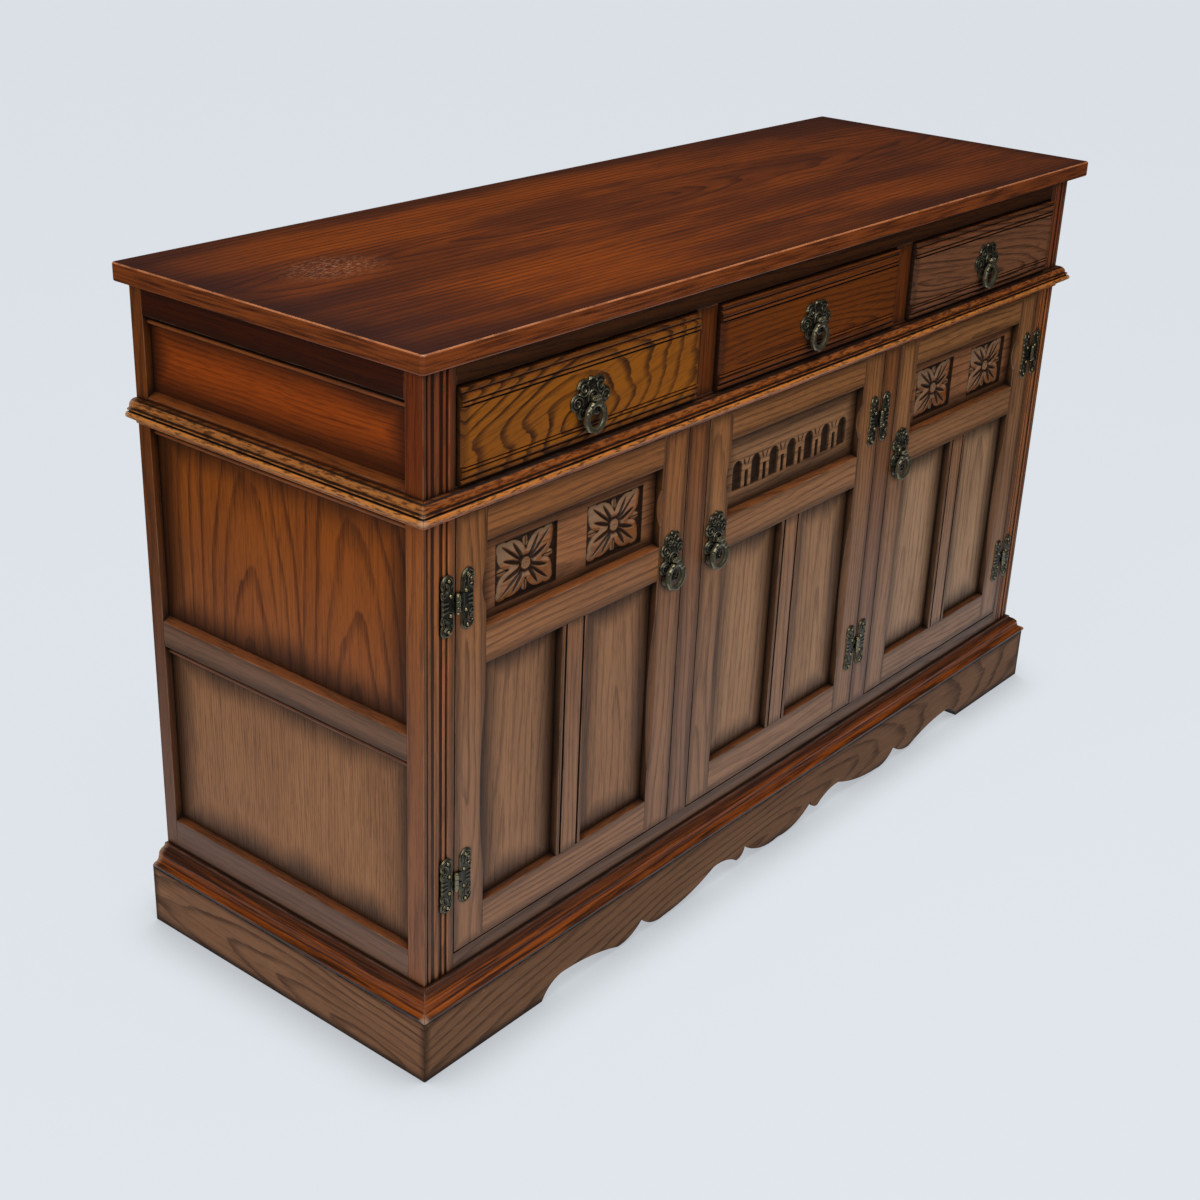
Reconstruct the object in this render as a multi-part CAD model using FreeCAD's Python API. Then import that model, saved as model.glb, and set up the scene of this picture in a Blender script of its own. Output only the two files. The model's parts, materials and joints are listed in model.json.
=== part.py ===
import FreeCAD, Part
import os

# Oak sideboard: three drawers over three panelled doors, on a shaped plinth.
# Millimetres. X runs along the front, the front faces -Y, and Z is up.
# The origin is on the floor, in the middle of the outline of the base.

Vec = FreeCAD.Vector

# Overall sizes
body_width = 1344.0
body_depth = 444.0
top_side_overhang = 20.5
top_front_overhang = 20.0
top_back_overhang = 2.0
top_thickness = 21.0
top_corner_round = 5.0
top_edge_round = 2.5
plinth_projection = 22.0
plinth_back_step = 4.0
plinth_height = 81.0

# Heights of the front, from the plinth up
base_mould_height = 26.0
bottom_rail_reveal = 20.25
door_opening_height = 527.25
waist_rail_height = 32.5
drawer_opening_height = 104.5
top_rail_height = 27.5

# Carcass timber
post_width = 46.0
post_depth = 25.0
rear_post_width = 30.0
rear_post_depth = 20.0
muntin_width = 38.75
body_drop = 21.0
side_rail_thickness = 22.0
side_top_rail_height = 37.5
side_waist_rail_reveal = 3.1
side_mid_rail_height = 31.2
side_mid_rail_rise = 291.55
side_bottom_rail_reveal = 37.0
side_frieze_ledge = 6.0
side_mid_ledge = 5.5
side_bottom_ledge = 3.0
frame_tenon_length = 18.0
frame_tenon_thickness = 8.0
frame_tenon_set_in = 7.0
tenon_shoulder = 6.0

# Panels held in grooves
panel_recess = 10.0
panel_thickness = 7.0
panel_tongue = 6.0
panel_play = 1.0
bead_depth = 5.0
bead_height = 10.0
bead_shares = [
    (0.0, 0.0), (0.0, 1.0), (0.25, 1.0), (0.25, 0.52), (0.7, 0.52),
    (1.0, 0.26, 0.7, 0.0),
]
cut_overrun = 2.0

# Reeded faces of the corner posts
reed_depth = 2.6
post_reed_shares = [
    (0.10, 0.0), (0.12, 1.0), (0.15, 1.0),
    (0.205, 0.08, 0.26, 1.0), (0.36, 1.0),
    (0.45, 0.08, 0.54, 1.0), (0.62, 1.0),
    (0.67, 0.08, 0.72, 1.0), (0.77, 1.0), (0.79, 0.0),
]

# Mouldings: shares of reach outwards and of height upwards
waist_mould_height = 30.0
waist_mould_reach = 17.2
waist_mould_shares = [
    (0.0, 0.0), (0.0, 1.0), (0.15, 1.0),
    (0.50, 0.93, 0.66, 0.70), (0.78, 0.68),
    (0.84, 0.64, 0.78, 0.60), (0.70, 0.58), (0.70, 0.55),
    (1.0, 0.46, 0.90, 0.34), (0.74, 0.32), (0.72, 0.26),
    (0.40, 0.20, 0.18, 0.07), (0.18, 0.0),
]
base_mould_reach = 24.0
base_mould_shares = [
    (0.0, 0.0), (0.0, 1.0), (0.21, 1.0),
    (0.27, 0.85, 0.42, 0.80), (0.46, 0.76),
    (0.58, 0.66, 0.62, 0.46), (0.66, 0.42),
    (0.72, 0.27, 0.90, 0.20), (0.99, 0.14, 1.0, 0.0),
]

# Plinth boards and the shaped lower edge of the front one
plinth_board = 20.0
plinth_block = 38.0
plinth_block_lift = 3.0
foot_width = 199.0
apron_rise = 25.5
apron_shares = [
    (1.0, 0.0), (0.972, 0.62, 0.92, 0.92),
    (0.82, 0.72, 0.71, 0.14), (0.665, 0.24, 0.615, 0.80),
    (0.575, 0.24, 0.52, 0.12), (0.41, 0.36, 0.305, 1.0),
    (0.24, 0.84, 0.20, 0.43), (0.178, 0.52, 0.163, 0.96),
    (0.09, 0.22, 0.0, 0.10),
]

# Inside of the carcass
back_panel_thickness = 6.0
back_panel_rebate = 10.0
back_rail_height = 38.0
floor_thickness = 12.0
partition_thickness = 12.0
dust_board_thickness = 4.0
runner_height = 19.0
runner_lap = 26.0
guide_height = 30.0
shelf_thickness = 15.0
shelf_height = 268.0
shelf_gap = 1.0
batten_height = 20.0
batten_width = 14.0
batten_front_set_in = 30.0

# Drawers
drawer_gap = 1.2
drawer_gap_under = 1.0
drawer_gap_over = 2.0
drawer_front_thickness = 20.0
drawer_proud = 8.0
drawer_field_bevel = 3.5
drawer_reed_band = 20.0
drawer_reed_shares = [
    (0.0, 0.0), (0.40, 0.0),
    (0.70, 0.06, 0.64, 0.27), (0.46, 0.31),
    (0.62, 0.36), (0.92, 0.54, 0.84, 0.70), (0.62, 0.75),
    (0.80, 0.78), (1.0, 0.86, 0.80, 0.93), (0.60, 0.95), (0.60, 1.0), (0.0, 1.0),
]
drawer_side_thickness = 12.0
drawer_side_height = 86.0
drawer_side_length = 385.0
drawer_side_play = 1.5
drawer_back_height = 66.0
drawer_bottom_thickness = 4.0
drawer_bottom_lift = 10.0
drawer_bottom_groove = 5.0
drawer_run_gap = 0.3
drawer_stop_height = 7.0
drawer_stop_length = 60.0
drawer_stop_depth = 12.0

# Doors
door_gap = 1.2
door_gap_under = 1.5
door_gap_over = 2.0
door_thickness = 20.0
door_stile_width = 46.5
door_top_rail_height = 37.5
door_mid_rail_height = 42.25
door_bottom_rail_height = 45.6
door_upper_light_height = 99.0
door_mid_ledge = 3.5
door_bottom_ledge = 0.6
door_tenon_length = 30.0
door_tenon_thickness = 7.0
door_tenon_set_in = 6.0
door_muntin_width = 44.0
door_muntin_bead = 5.5
door_muntin_groove = 3.0
door_muntin_groove_depth = 3.5
scoop_depth = 5.0
scoop_upper_end_gap = 24.0
scoop_lower_end_gap = 38.0

# Carving on the upper door panels
rosette_width = 98.0
rosette_height = 70.0
rosette_spread = 75.0
rosette_drop = 2.0
rosette_sink = 3.6
rosette_relief = 3.0
rosette_boss_radius = 7.5
rosette_boss_height = 3.4
rosette_quarter_shares = [
    (0.26, 0.92, 0.62, 0.95), (0.92, 0.92, 0.94, 0.60), (0.90, 0.26, 0.66, 0.0),
]
rosette_notch_share = 0.60
arch_count = 7
arch_pitch = 39.2
arch_width = 19.6
arch_height = 39.0
arch_lift = 19.5
arch_sink = 3.0
slot_width = 7.2
slot_height = 23.0

# H hinges on the face of the frame
hinge_leaf_width = 19.5
hinge_leaf_height = 70.0
hinge_leaf_thickness = 2.0
hinge_frame_leaf_set_back = 3.6
hinge_door_leaf_set_back = 7.6
hinge_knuckle_radius = 2.9
hinge_standoff = 3.3
hinge_barrel_length = 19.0
hinge_mid_knuckle = 6.6
hinge_knuckle_gap = 0.3
hinge_pin_radius = 1.3
hinge_pin_play = 0.05
hinge_pin_press = 0.02
hinge_pin_head_radius = 2.3
hinge_pin_head_height = 1.6
hinge_upper_drop = 96.0
hinge_lower_rise = 97.5
hinge_leaf_shares = [
    (0.0, 0.36), (0.06, 0.56), (0.0, 0.72),
    (0.10, 0.98, 0.46, 1.0), (0.92, 0.96, 0.95, 0.74),
    (1.0, 0.62, 0.86, 0.54), (1.0, 0.36, 0.90, 0.20), (1.0, 0.10, 0.90, 0.0),
]
hinge_nail_shares = [(0.43, 0.82), (0.29, 0.31)]
nail_radius = 2.3
nail_height = 1.4
hinge_eye_radius = 1.6
hinge_eye_share = (0.60, 0.56)

# Handles: a cast back plate, two ears with a pin, and a ring
plate_thickness = 3.0
door_plate_width = 42.0
door_plate_height = 73.0
door_plate_shares = [
    (0.0, 1.0), (0.28, 0.96, 0.40, 0.78), (0.74, 0.84, 0.80, 0.58),
    (1.0, 0.42, 0.86, 0.20), (1.0, 0.0, 0.86, -0.22), (1.0, -0.46, 0.70, -0.60),
    (0.60, -0.84, 0.32, -0.80), (0.20, -0.96, 0.0, -1.0),
]
door_handle_drop = 123.0
drawer_plate_width = 65.0
drawer_plate_height = 46.5
drawer_plate_shares = [
    (0.0, 1.0), (0.20, 0.99, 0.32, 0.80), (0.60, 1.0, 0.74, 0.58),
    (1.0, 0.42, 0.88, 0.08), (1.0, -0.26, 0.78, -0.46), (0.64, -0.86, 0.38, -0.76),
    (0.22, -1.0, 0.0, -1.0),
]
plate_hole_radius = 2.2
plate_hole_shares = [(0.52, 0.44), (0.50, -0.40)]
boss_radius = 9.0
boss_height = 1.6
pivot_standoff = 9.0
pivot_rise_door = 2.0
pivot_rise_drawer = 0.5
drawer_handle_drop = 1.5
ear_thickness = 2.4
ear_radius = 3.0
ring_pin_radius = 1.3
ring_pin_play = 0.06
ring_side_gap = 0.3
ring_knuckle_radius = 3.2
ring_knuckle_length = 6.6
ring_width = 37.0
ring_height = 37.0
ring_neck = 3.6
ring_thickness = 6.4
ring_hole_width = 21.0
ring_hole_height = 24.0
ring_hole_rise = 1.0
ring_chamfer = 1.8
ring_shares = [(0.0, 1.0), (0.38, 1.0), (0.86, 0.56), (1.0, -0.16), (0.70, -0.70), (0.0, -1.0)]

# Catches behind the free edge of each door
catch_width = 26.0
catch_depth = 12.0
catch_drop = 18.0
catch_clearance = 0.3
catch_set_in = 60.0

# Places that follow from the sizes
half_body = body_width / 2
overall_depth = base_mould_reach + body_depth + plinth_back_step
front_y = base_mould_reach - overall_depth / 2
back_y = front_y + body_depth
plinth_front_y = front_y - plinth_projection
plinth_back_y = back_y + plinth_back_step
half_plinth = half_body + plinth_projection
feet_z = plinth_height - body_drop
base_top_z = plinth_height + base_mould_height
door_sill_z = base_top_z + bottom_rail_reveal
door_head_z = door_sill_z + door_opening_height
drawer_sill_z = door_head_z + waist_rail_height
drawer_head_z = drawer_sill_z + drawer_opening_height
under_top_z = drawer_head_z + top_rail_height
top_z = under_top_z + top_thickness
opening_width = (body_width - 2 * post_width - 2 * muntin_width) / 3
opening_pitch = opening_width + muntin_width
bay_centres = [-opening_pitch, 0, opening_pitch]
muntin_centres = [-opening_pitch / 2, opening_pitch / 2]
frame_back_y = front_y + post_depth
rear_frame_y = back_y - rear_post_depth
back_panel_y = back_y - back_panel_thickness
side_inner_x = half_body - side_rail_thickness
dust_top_z = drawer_sill_z - runner_height
dust_under_z = dust_top_z - dust_board_thickness
shelf_top_z = door_sill_z + shelf_height
side_mid_rail_z = plinth_height + base_mould_height + side_mid_rail_rise - side_mid_rail_height / 2
side_waist_top_z = door_head_z + waist_mould_height + side_waist_rail_reveal
side_bottom_top_z = base_top_z + side_bottom_rail_reveal
side_frieze_top_z = under_top_z - side_top_rail_height
door_foot_z = door_sill_z + door_gap_under
door_low_top_z = door_foot_z + door_bottom_rail_height
door_top_z = door_head_z - door_gap_over
door_high_foot_z = door_top_z - door_top_rail_height
door_mid_top_z = door_high_foot_z - door_upper_light_height
door_mid_foot_z = door_mid_top_z - door_mid_rail_height


def block(x0, x1, y0, y1, z0, z1):
    return Part.makeBox(x1 - x0, y1 - y0, z1 - z0, Vec(x0, y0, z0))


def rod(radius, start, along):
    """A cylinder from a start point, as long as the vector along."""
    return Part.makeCylinder(radius, along.Length, start, along)


def mirrored(shape, x=0):
    return shape.mirror(Vec(x, 0, 0), Vec(1, 0, 0))


def traced_face(steps, place):
    """A face whose outline follows the steps: pairs are lines, fours are arcs."""
    edges = []
    start = place(*steps[0])
    here = start
    for step in steps[1:]:
        there = place(*step[-2:])
        if len(step) == 4:
            edges.append(Part.Arc(here, place(*step[:2]), there).toShape())
        else:
            edges.append(Part.LineSegment(here, there).toShape())
        here = there
    if here.distanceToPoint(start) > 0:
        edges.append(Part.LineSegment(here, start).toShape())
    return Part.Face(Part.Wire(edges))


def plan_prism(corners, z0, height):
    points = [Vec(x, y, z0) for x, y in corners]
    return Part.Face(Part.makePolygon(points + points[:1])).extrude(Vec(0, 0, height))


def cut_all(shape, tools):
    for tool in tools:
        shape = shape.cut(tool)
    return shape


def both_halves(shares):
    """Steps of a symmetric outline, from those of its right half, top to bottom."""
    ends = [step[-2:] for step in shares]
    left = []
    for index in range(len(shares) - 1, 0, -1):
        mid_across, mid_up = shares[index][:2]
        across, up = ends[index - 1]
        left.append((-mid_across, mid_up, -across, up))
    return shares + left


def moulding_lengths(shares, reach, height, z0):
    """Front and side lengths of a moulding, mitred at the front corners."""
    span = half_body + reach
    front = traced_face(shares, lambda out, up: Vec(-span, front_y - out * reach, z0 + up * height))
    front = front.extrude(Vec(2 * span, 0, 0))
    edge_y = front_y - reach
    front_plan = [(-span, edge_y), (span, edge_y), (half_body, front_y), (-half_body, front_y)]
    front = front.common(plan_prism(front_plan, z0, height))
    side = traced_face(shares, lambda out, up: Vec(half_body + out * reach, edge_y, z0 + up * height))
    side = side.extrude(Vec(0, body_depth + reach, 0))
    side_plan = [(half_body, front_y), (span, edge_y), (span, back_y), (half_body, back_y)]
    side = side.common(plan_prism(side_plan, z0, height))
    return [front, mirrored(side), side]


def top_board():
    half = half_body + top_side_overhang
    front = front_y - top_front_overhang
    board = block(-half, half, front, back_y + top_back_overhang, under_top_z, top_z)
    upright = [edge for edge in board.Edges if edge.BoundBox.ZLength > top_thickness / 2]
    board = board.makeFillet(top_corner_round, upright)
    rims = [edge for edge in board.Edges if edge.BoundBox.ZLength < top_thickness / 2]
    return board.makeFillet(top_edge_round, rims)


def plinth_front():
    half = half_plinth
    inner = half - plinth_board
    inner_y = plinth_front_y + plinth_board
    plan = [(-half, plinth_front_y), (half, plinth_front_y), (inner, inner_y), (-inner, inner_y)]
    board = plan_prism(plan, 0, plinth_height)
    arch_half = half - foot_width
    right = [(0.0, 0.0)] + [(1.0, 0.0)] + apron_shares[1:]
    edge_y = plinth_front_y - cut_overrun
    cutter = traced_face(right, lambda across, up: Vec(across * arch_half, edge_y, up * apron_rise))
    cutter = cutter.extrude(Vec(0, plinth_board + 2 * cut_overrun, 0))
    return board.cut(cutter).cut(mirrored(cutter))


def plinth_sides():
    half = half_plinth
    inner = half - plinth_board
    front = plinth_front_y
    plan = [(half, front), (half, plinth_back_y), (inner, plinth_back_y), (inner, front + plinth_board)]
    right = plan_prism(plan, 0, plinth_height)
    return [mirrored(right), right]


def plinth_back():
    inner = half_plinth - plinth_board
    return block(-inner, inner, plinth_back_y - plinth_board, plinth_back_y, 0, feet_z)


def plinth_blocks():
    """Corner and middle blocks that carry the carcass inside the plinth."""
    inner = half_plinth - plinth_board
    front = plinth_front_y + plinth_board
    rear = plinth_back_y - plinth_board
    corners = [inner - plinth_block, inner]
    lift = plinth_block_lift
    blocks = []
    for y0 in (front, -plinth_block / 2, rear - plinth_block):
        right = block(corners[0], corners[1], y0, y0 + plinth_block, lift, feet_z)
        blocks += [mirrored(right), right]
    for centre in muntin_centres:
        x0 = centre - plinth_block / 2
        blocks.append(block(x0, x0 + plinth_block, front, front + plinth_block, plinth_height / 2, feet_z))
    return blocks


def post_reeding(z0, z1):
    """What is cut from the face of the right-hand post to leave its reeds."""
    outer = half_body
    cutter = traced_face(
        post_reed_shares,
        lambda across, deep: Vec(outer - across * post_width, front_y + deep * reed_depth, z0),
    )
    return cutter.extrude(Vec(0, 0, z1 - z0))


def tenon_pair(y0, y1, z0, z1, length, x0, x1):
    """Tenons on both ends of a rail that runs along X from x0 to x1."""
    return [
        block(x0 - length, x0, y0, y1, z0 + tenon_shoulder, z1 - tenon_shoulder),
        block(x1, x1 + length, y0, y1, z0 + tenon_shoulder, z1 - tenon_shoulder),
    ]


def front_rail(z0, z1):
    """A rail of the front frame between the corner posts, with its tenons."""
    inner = half_body - post_width
    y0 = front_y + frame_tenon_set_in
    tenons = tenon_pair(y0, y0 + frame_tenon_thickness, z0, z1, frame_tenon_length, -inner, inner)
    rail = block(-inner, inner, front_y, frame_back_y, z0, z1)
    for tenon in tenons:
        rail = rail.fuse(tenon)
    return rail.removeSplitter(), tenons


def side_rail(z0, z1, ledge):
    """A rail of the right-hand side frame: its top slopes up inwards to the panel."""
    outer = half_body
    inner = side_inner_x
    recess_x = outer - panel_recess
    corners = [(outer, z0), (outer, z1), (recess_x, z1 + ledge), (inner, z1 + ledge), (inner, z0)]
    points = [Vec(x, frame_back_y, z) for x, z in corners]
    length = rear_frame_y - frame_back_y
    rail = Part.Face(Part.makePolygon(points + points[:1])).extrude(Vec(0, length, 0))
    tenon_x1 = outer - frame_tenon_set_in
    tenon_x0 = tenon_x1 - frame_tenon_thickness
    tenons = []
    for y0 in (frame_back_y - post_depth / 2, rear_frame_y):
        y1 = y0 + post_depth / 2
        tenons.append(block(tenon_x0, tenon_x1, y0, y1, z0 + tenon_shoulder, z1 - tenon_shoulder))
        rail = rail.fuse(tenons[-1])
    return rail.removeSplitter(), tenons


def side_panel(z0, z1, grow):
    """The right-hand panel behind an opening from z0 to z1, or its groove."""
    x1 = half_body - panel_recess
    tongue = panel_tongue + grow
    y0 = frame_back_y - tongue
    y1 = rear_frame_y + tongue
    return block(x1 - panel_thickness, x1, y0, y1, z0 - tongue, z1 + tongue)


def side_frame():
    """Rails, panels and top beads of the right-hand side, and what they cut from the posts."""
    rail_spans = [
        (feet_z, side_bottom_top_z, side_bottom_ledge),
        (side_mid_rail_z, side_mid_rail_z + side_mid_rail_height, side_mid_ledge),
        (door_head_z, side_waist_top_z, side_frieze_ledge),
        (side_frieze_top_z, under_top_z, 0),
    ]
    rails = []
    mortises = []
    for z0, z1, ledge in rail_spans:
        rail, tenons = side_rail(z0, z1, ledge)
        rails.append(rail)
        mortises += tenons
    panels = []
    grooves = []
    beads = []
    for lower, upper in zip(rail_spans, rail_spans[1:]):
        z0 = lower[1] + lower[2]
        z1 = upper[0]
        panels.append(side_panel(z0, z1, 0))
        grooves.append(side_panel(z0, z1, panel_play))
        beads.append(panel_bead(z1))
    rails = [cut_all(rail, grooves) for rail in rails]
    return rails, panels, beads, mortises + grooves


def panel_bead(z1):
    """The strip planted under a side rail, against the panel: a flat with a bead below it."""
    x0 = half_body - panel_recess
    z0 = z1 - bead_height
    face = traced_face(
        bead_shares, lambda out, up: Vec(x0 + out * bead_depth, frame_back_y, z0 + up * bead_height)
    )
    return face.extrude(Vec(0, rear_frame_y - frame_back_y, 0))


def front_posts(cuts):
    outer = half_body
    post = block(outer - post_width, outer, front_y, frame_back_y, feet_z, under_top_z)
    post = post.cut(post_reeding(feet_z - cut_overrun, under_top_z + cut_overrun))
    post = cut_all(post, cuts)
    return [mirrored(post), post]


def rear_posts(cuts):
    outer = half_body
    post = block(outer - rear_post_width, outer, rear_frame_y, back_y, feet_z, under_top_z)
    rebate_x = outer - rear_post_width + back_panel_rebate
    rebate = block(outer - rear_post_width, rebate_x, back_panel_y, back_y, feet_z, under_top_z)
    post = cut_all(post.cut(rebate), cuts)
    return [mirrored(post), post]


def back_rails():
    inner = half_body - rear_post_width
    spans = [
        (feet_z, door_sill_z),
        (dust_top_z, dust_top_z + back_rail_height),
        (under_top_z - back_rail_height, under_top_z),
    ]
    return [block(-inner, inner, rear_frame_y, back_panel_y, z0, z1) for z0, z1 in spans]


def back_panel():
    half = half_body - rear_post_width + back_panel_rebate
    return block(-half, half, back_panel_y, back_y, feet_z, under_top_z)


def cupboard_floor():
    z0 = door_sill_z - floor_thickness
    return block(-side_inner_x, side_inner_x, frame_back_y, rear_frame_y, z0, door_sill_z)


def dust_board():
    return block(-side_inner_x, side_inner_x, frame_back_y, rear_frame_y, dust_under_z, dust_top_z)


def partitions():
    half = partition_thickness / 2
    return [
        block(centre - half, centre + half, frame_back_y, rear_frame_y, door_sill_z, dust_under_z)
        for centre in muntin_centres
    ]


def bay_walls():
    """The inside faces of each cupboard, left and right."""
    half = partition_thickness / 2
    left, right = muntin_centres
    return [(-side_inner_x, left - half), (left + half, right - half), (right + half, side_inner_x)]


def shelves():
    z0 = shelf_top_z - shelf_thickness
    y0 = frame_back_y + batten_front_set_in - shelf_gap
    return [
        block(x0 + shelf_gap, x1 - shelf_gap, y0, rear_frame_y - shelf_gap, z0, shelf_top_z)
        for x0, x1 in bay_walls()
    ]


def shelf_battens():
    z1 = shelf_top_z - shelf_thickness
    y0 = frame_back_y + batten_front_set_in
    battens = []
    for x0, x1 in bay_walls():
        battens.append(block(x0, x0 + batten_width, y0, rear_frame_y, z1 - batten_height, z1))
        battens.append(block(x1 - batten_width, x1, y0, rear_frame_y, z1 - batten_height, z1))
    return battens


def runner_spans():
    """Across: where the runners lie, under the sides of the drawers."""
    reach = muntin_width / 2 + runner_lap
    post_inner = half_body - post_width
    spans = [(-side_inner_x, -post_inner + runner_lap)]
    spans += [(centre - reach, centre + reach) for centre in muntin_centres]
    spans.append((post_inner - runner_lap, side_inner_x))
    return spans


def drawer_runners():
    return [
        block(x0, x1, frame_back_y, rear_frame_y, dust_top_z, drawer_sill_z)
        for x0, x1 in runner_spans()
    ]


def kicker_rails():
    """Bearers under the top that keep the drawers from tipping and carry the top's screws."""
    return [
        block(x0, x1, frame_back_y, rear_frame_y, drawer_head_z, under_top_z)
        for x0, x1 in runner_spans()
    ]


def drawer_guides():
    """Guide strips beside the drawers, and a stop behind each drawer front."""
    post_inner = half_body - post_width
    half = muntin_width / 2
    spans = [(-side_inner_x, -post_inner)]
    spans += [(centre - half, centre + half) for centre in muntin_centres]
    spans.append((post_inner, side_inner_x))
    z0 = drawer_sill_z
    pieces = [block(x0, x1, frame_back_y, rear_frame_y, z0, z0 + guide_height) for x0, x1 in spans]
    stop_y = front_y - drawer_proud + drawer_front_thickness + drawer_run_gap
    stop_back = stop_y + drawer_stop_depth
    for centre in bay_centres:
        x0 = centre - drawer_stop_length / 2
        pieces.append(block(x0, x0 + drawer_stop_length, stop_y, stop_back, z0, z0 + drawer_stop_height))
    return pieces


def muntins(z0, z1):
    half = muntin_width / 2
    return [block(centre - half, centre + half, front_y, frame_back_y, z0, z1) for centre in muntin_centres]


def drawer_front(centre):
    """Solid front: a plain field with bevelled ends between two reeded bands."""
    half = opening_width / 2 - drawer_gap
    z0 = drawer_sill_z + drawer_gap_under
    z1 = drawer_head_z - drawer_gap_over
    back = front_y - drawer_proud + drawer_front_thickness
    low = z0 + drawer_reed_band
    high = z1 - drawer_reed_band
    core = block(centre - half, centre + half, front_y, back, z0, z1)

    def band(up_place):
        face = traced_face(
            drawer_reed_shares, lambda out, up: Vec(centre - half, front_y - out * drawer_proud, up_place(up))
        )
        return face.extrude(Vec(2 * half, 0, 0))

    lower = band(lambda up: z0 + up * drawer_reed_band)
    upper = band(lambda up: z1 - up * drawer_reed_band)
    tip = drawer_proud - drawer_field_bevel
    corners = [
        (centre - half, front_y), (centre - half, front_y - tip),
        (centre - half + drawer_field_bevel, front_y - drawer_proud),
        (centre + half - drawer_field_bevel, front_y - drawer_proud),
        (centre + half, front_y - tip), (centre + half, front_y),
    ]
    field = plan_prism(corners, low, high - low)
    return core.fuse(lower).fuse(upper).fuse(field).removeSplitter()


def drawer_box(centre):
    """Two sides, a back and a thin bottom that slides in grooves."""
    outer = opening_width / 2 - drawer_side_play
    inner = outer - drawer_side_thickness
    y0 = front_y - drawer_proud + drawer_front_thickness
    y1 = y0 + drawer_side_length
    z0 = drawer_sill_z + drawer_run_gap
    bottom_z = z0 + drawer_bottom_lift
    bottom_top = bottom_z + drawer_bottom_thickness
    groove = drawer_bottom_groove
    bottom = block(centre - inner - groove, centre + inner + groove, y0, y1, bottom_z, bottom_top)
    sides = [
        block(centre - outer, centre - inner, y0, y1, z0, z0 + drawer_side_height),
        block(centre + inner, centre + outer, y0, y1, z0, z0 + drawer_side_height),
    ]
    sides = [side.cut(bottom) for side in sides]
    back_top = bottom_top + drawer_back_height
    back = block(centre - inner, centre + inner, y1 - drawer_side_thickness, y1, bottom_top, back_top)
    return sides + [back, bottom]


def scoop(x, side, z0, z1):
    """A long hollow cut on the slant into the inner edge of a stile; it runs out at both ends."""
    half_chord = (z1 - z0) / 2
    radius = (half_chord ** 2 + scoop_depth ** 2) / (2 * scoop_depth)
    outwards = Vec(side, -1, 0).normalize()
    across = Vec(side, 1, 0).normalize()
    centre = Vec(x, front_y, (z0 + z1) / 2) + outwards * (radius - scoop_depth)
    reach = 2 * scoop_depth
    return rod(radius, centre - across * reach, across * (2 * reach))


def ledge_rail(x0, x1, z0, z1, ledge):
    """A door rail whose top slopes up inwards to the panel behind it."""
    back = front_y + door_thickness
    recess_y = front_y + panel_recess
    corners = [(front_y, z0), (front_y, z1), (recess_y, z1 + ledge), (back, z1 + ledge), (back, z0)]
    points = [Vec(x0, y, z) for y, z in corners]
    return Part.Face(Part.makePolygon(points + points[:1])).extrude(Vec(x1 - x0, 0, 0))


def front_panel(x0, x1, z0, z1, grow):
    """The panel behind a door opening, or its groove."""
    y0 = front_y + panel_recess
    tongue = panel_tongue + grow
    return block(x0 - tongue, x1 + tongue, y0, y0 + panel_thickness, z0 - tongue, z1 + tongue)


def door_frame(centre):
    """Stiles, three rails and the muntin, with the panels that they hold."""
    half = opening_width / 2 - door_gap
    x0, x1 = centre - half, centre + half
    in0, in1 = x0 + door_stile_width, x1 - door_stile_width
    back = front_y + door_thickness
    spans = [(door_foot_z, door_low_top_z), (door_mid_foot_z, door_mid_top_z), (door_high_foot_z, door_top_z)]
    ledges = [door_bottom_ledge, door_mid_ledge, 0]
    rails = [ledge_rail(in0, in1, z0, z1, ledge) for (z0, z1), ledge in zip(spans, ledges)]
    tenon_y = front_y + door_tenon_set_in
    mortises = []
    for index, (z0, z1) in enumerate(spans):
        tenons = tenon_pair(tenon_y, tenon_y + door_tenon_thickness, z0, z1, door_tenon_length, in0, in1)
        mortises += tenons
        rails[index] = rails[index].multiFuse(tenons).removeSplitter()
    stiles = [
        block(x0, in0, front_y, back, door_foot_z, door_top_z),
        block(in1, x1, front_y, back, door_foot_z, door_top_z),
    ]
    scoops = []
    for z0, z1, end_gap in (
        (door_mid_top_z, door_high_foot_z, scoop_upper_end_gap),
        (door_low_top_z, door_mid_foot_z, scoop_lower_end_gap),
    ):
        scoops.append(scoop(in0, 1, z0 + end_gap, z1 - end_gap))
        scoops.append(scoop(in1, -1, z0 + end_gap, z1 - end_gap))
    half_muntin = door_muntin_width / 2
    mun0, mun1 = centre - half_muntin, centre + half_muntin
    muntin = block(mun0, mun1, front_y, back, door_low_top_z, door_mid_foot_z).cut(rails[0])
    groove_y = front_y + door_muntin_groove_depth
    inset = door_muntin_bead + door_muntin_groove
    for edge0 in (mun0 + door_muntin_bead, mun1 - inset):
        groove = block(edge0, edge0 + door_muntin_groove, front_y, groove_y, door_low_top_z, door_mid_foot_z)
        muntin = muntin.cut(groove)
    low_opening_z = door_low_top_z + door_bottom_ledge
    openings = [
        (in0, in1, door_mid_top_z + door_mid_ledge, door_high_foot_z),
        (in0, mun0, low_opening_z, door_mid_foot_z),
        (mun1, in1, low_opening_z, door_mid_foot_z),
    ]
    grooves = [front_panel(*opening, panel_play) for opening in openings]
    panels = [front_panel(*opening, 0) for opening in openings]
    stiles = [cut_all(stile, mortises + scoops + grooves) for stile in stiles]
    rails = [cut_all(rail, grooves) for rail in rails]
    muntin = cut_all(muntin, grooves)
    return stiles + rails + [muntin], panels


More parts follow.
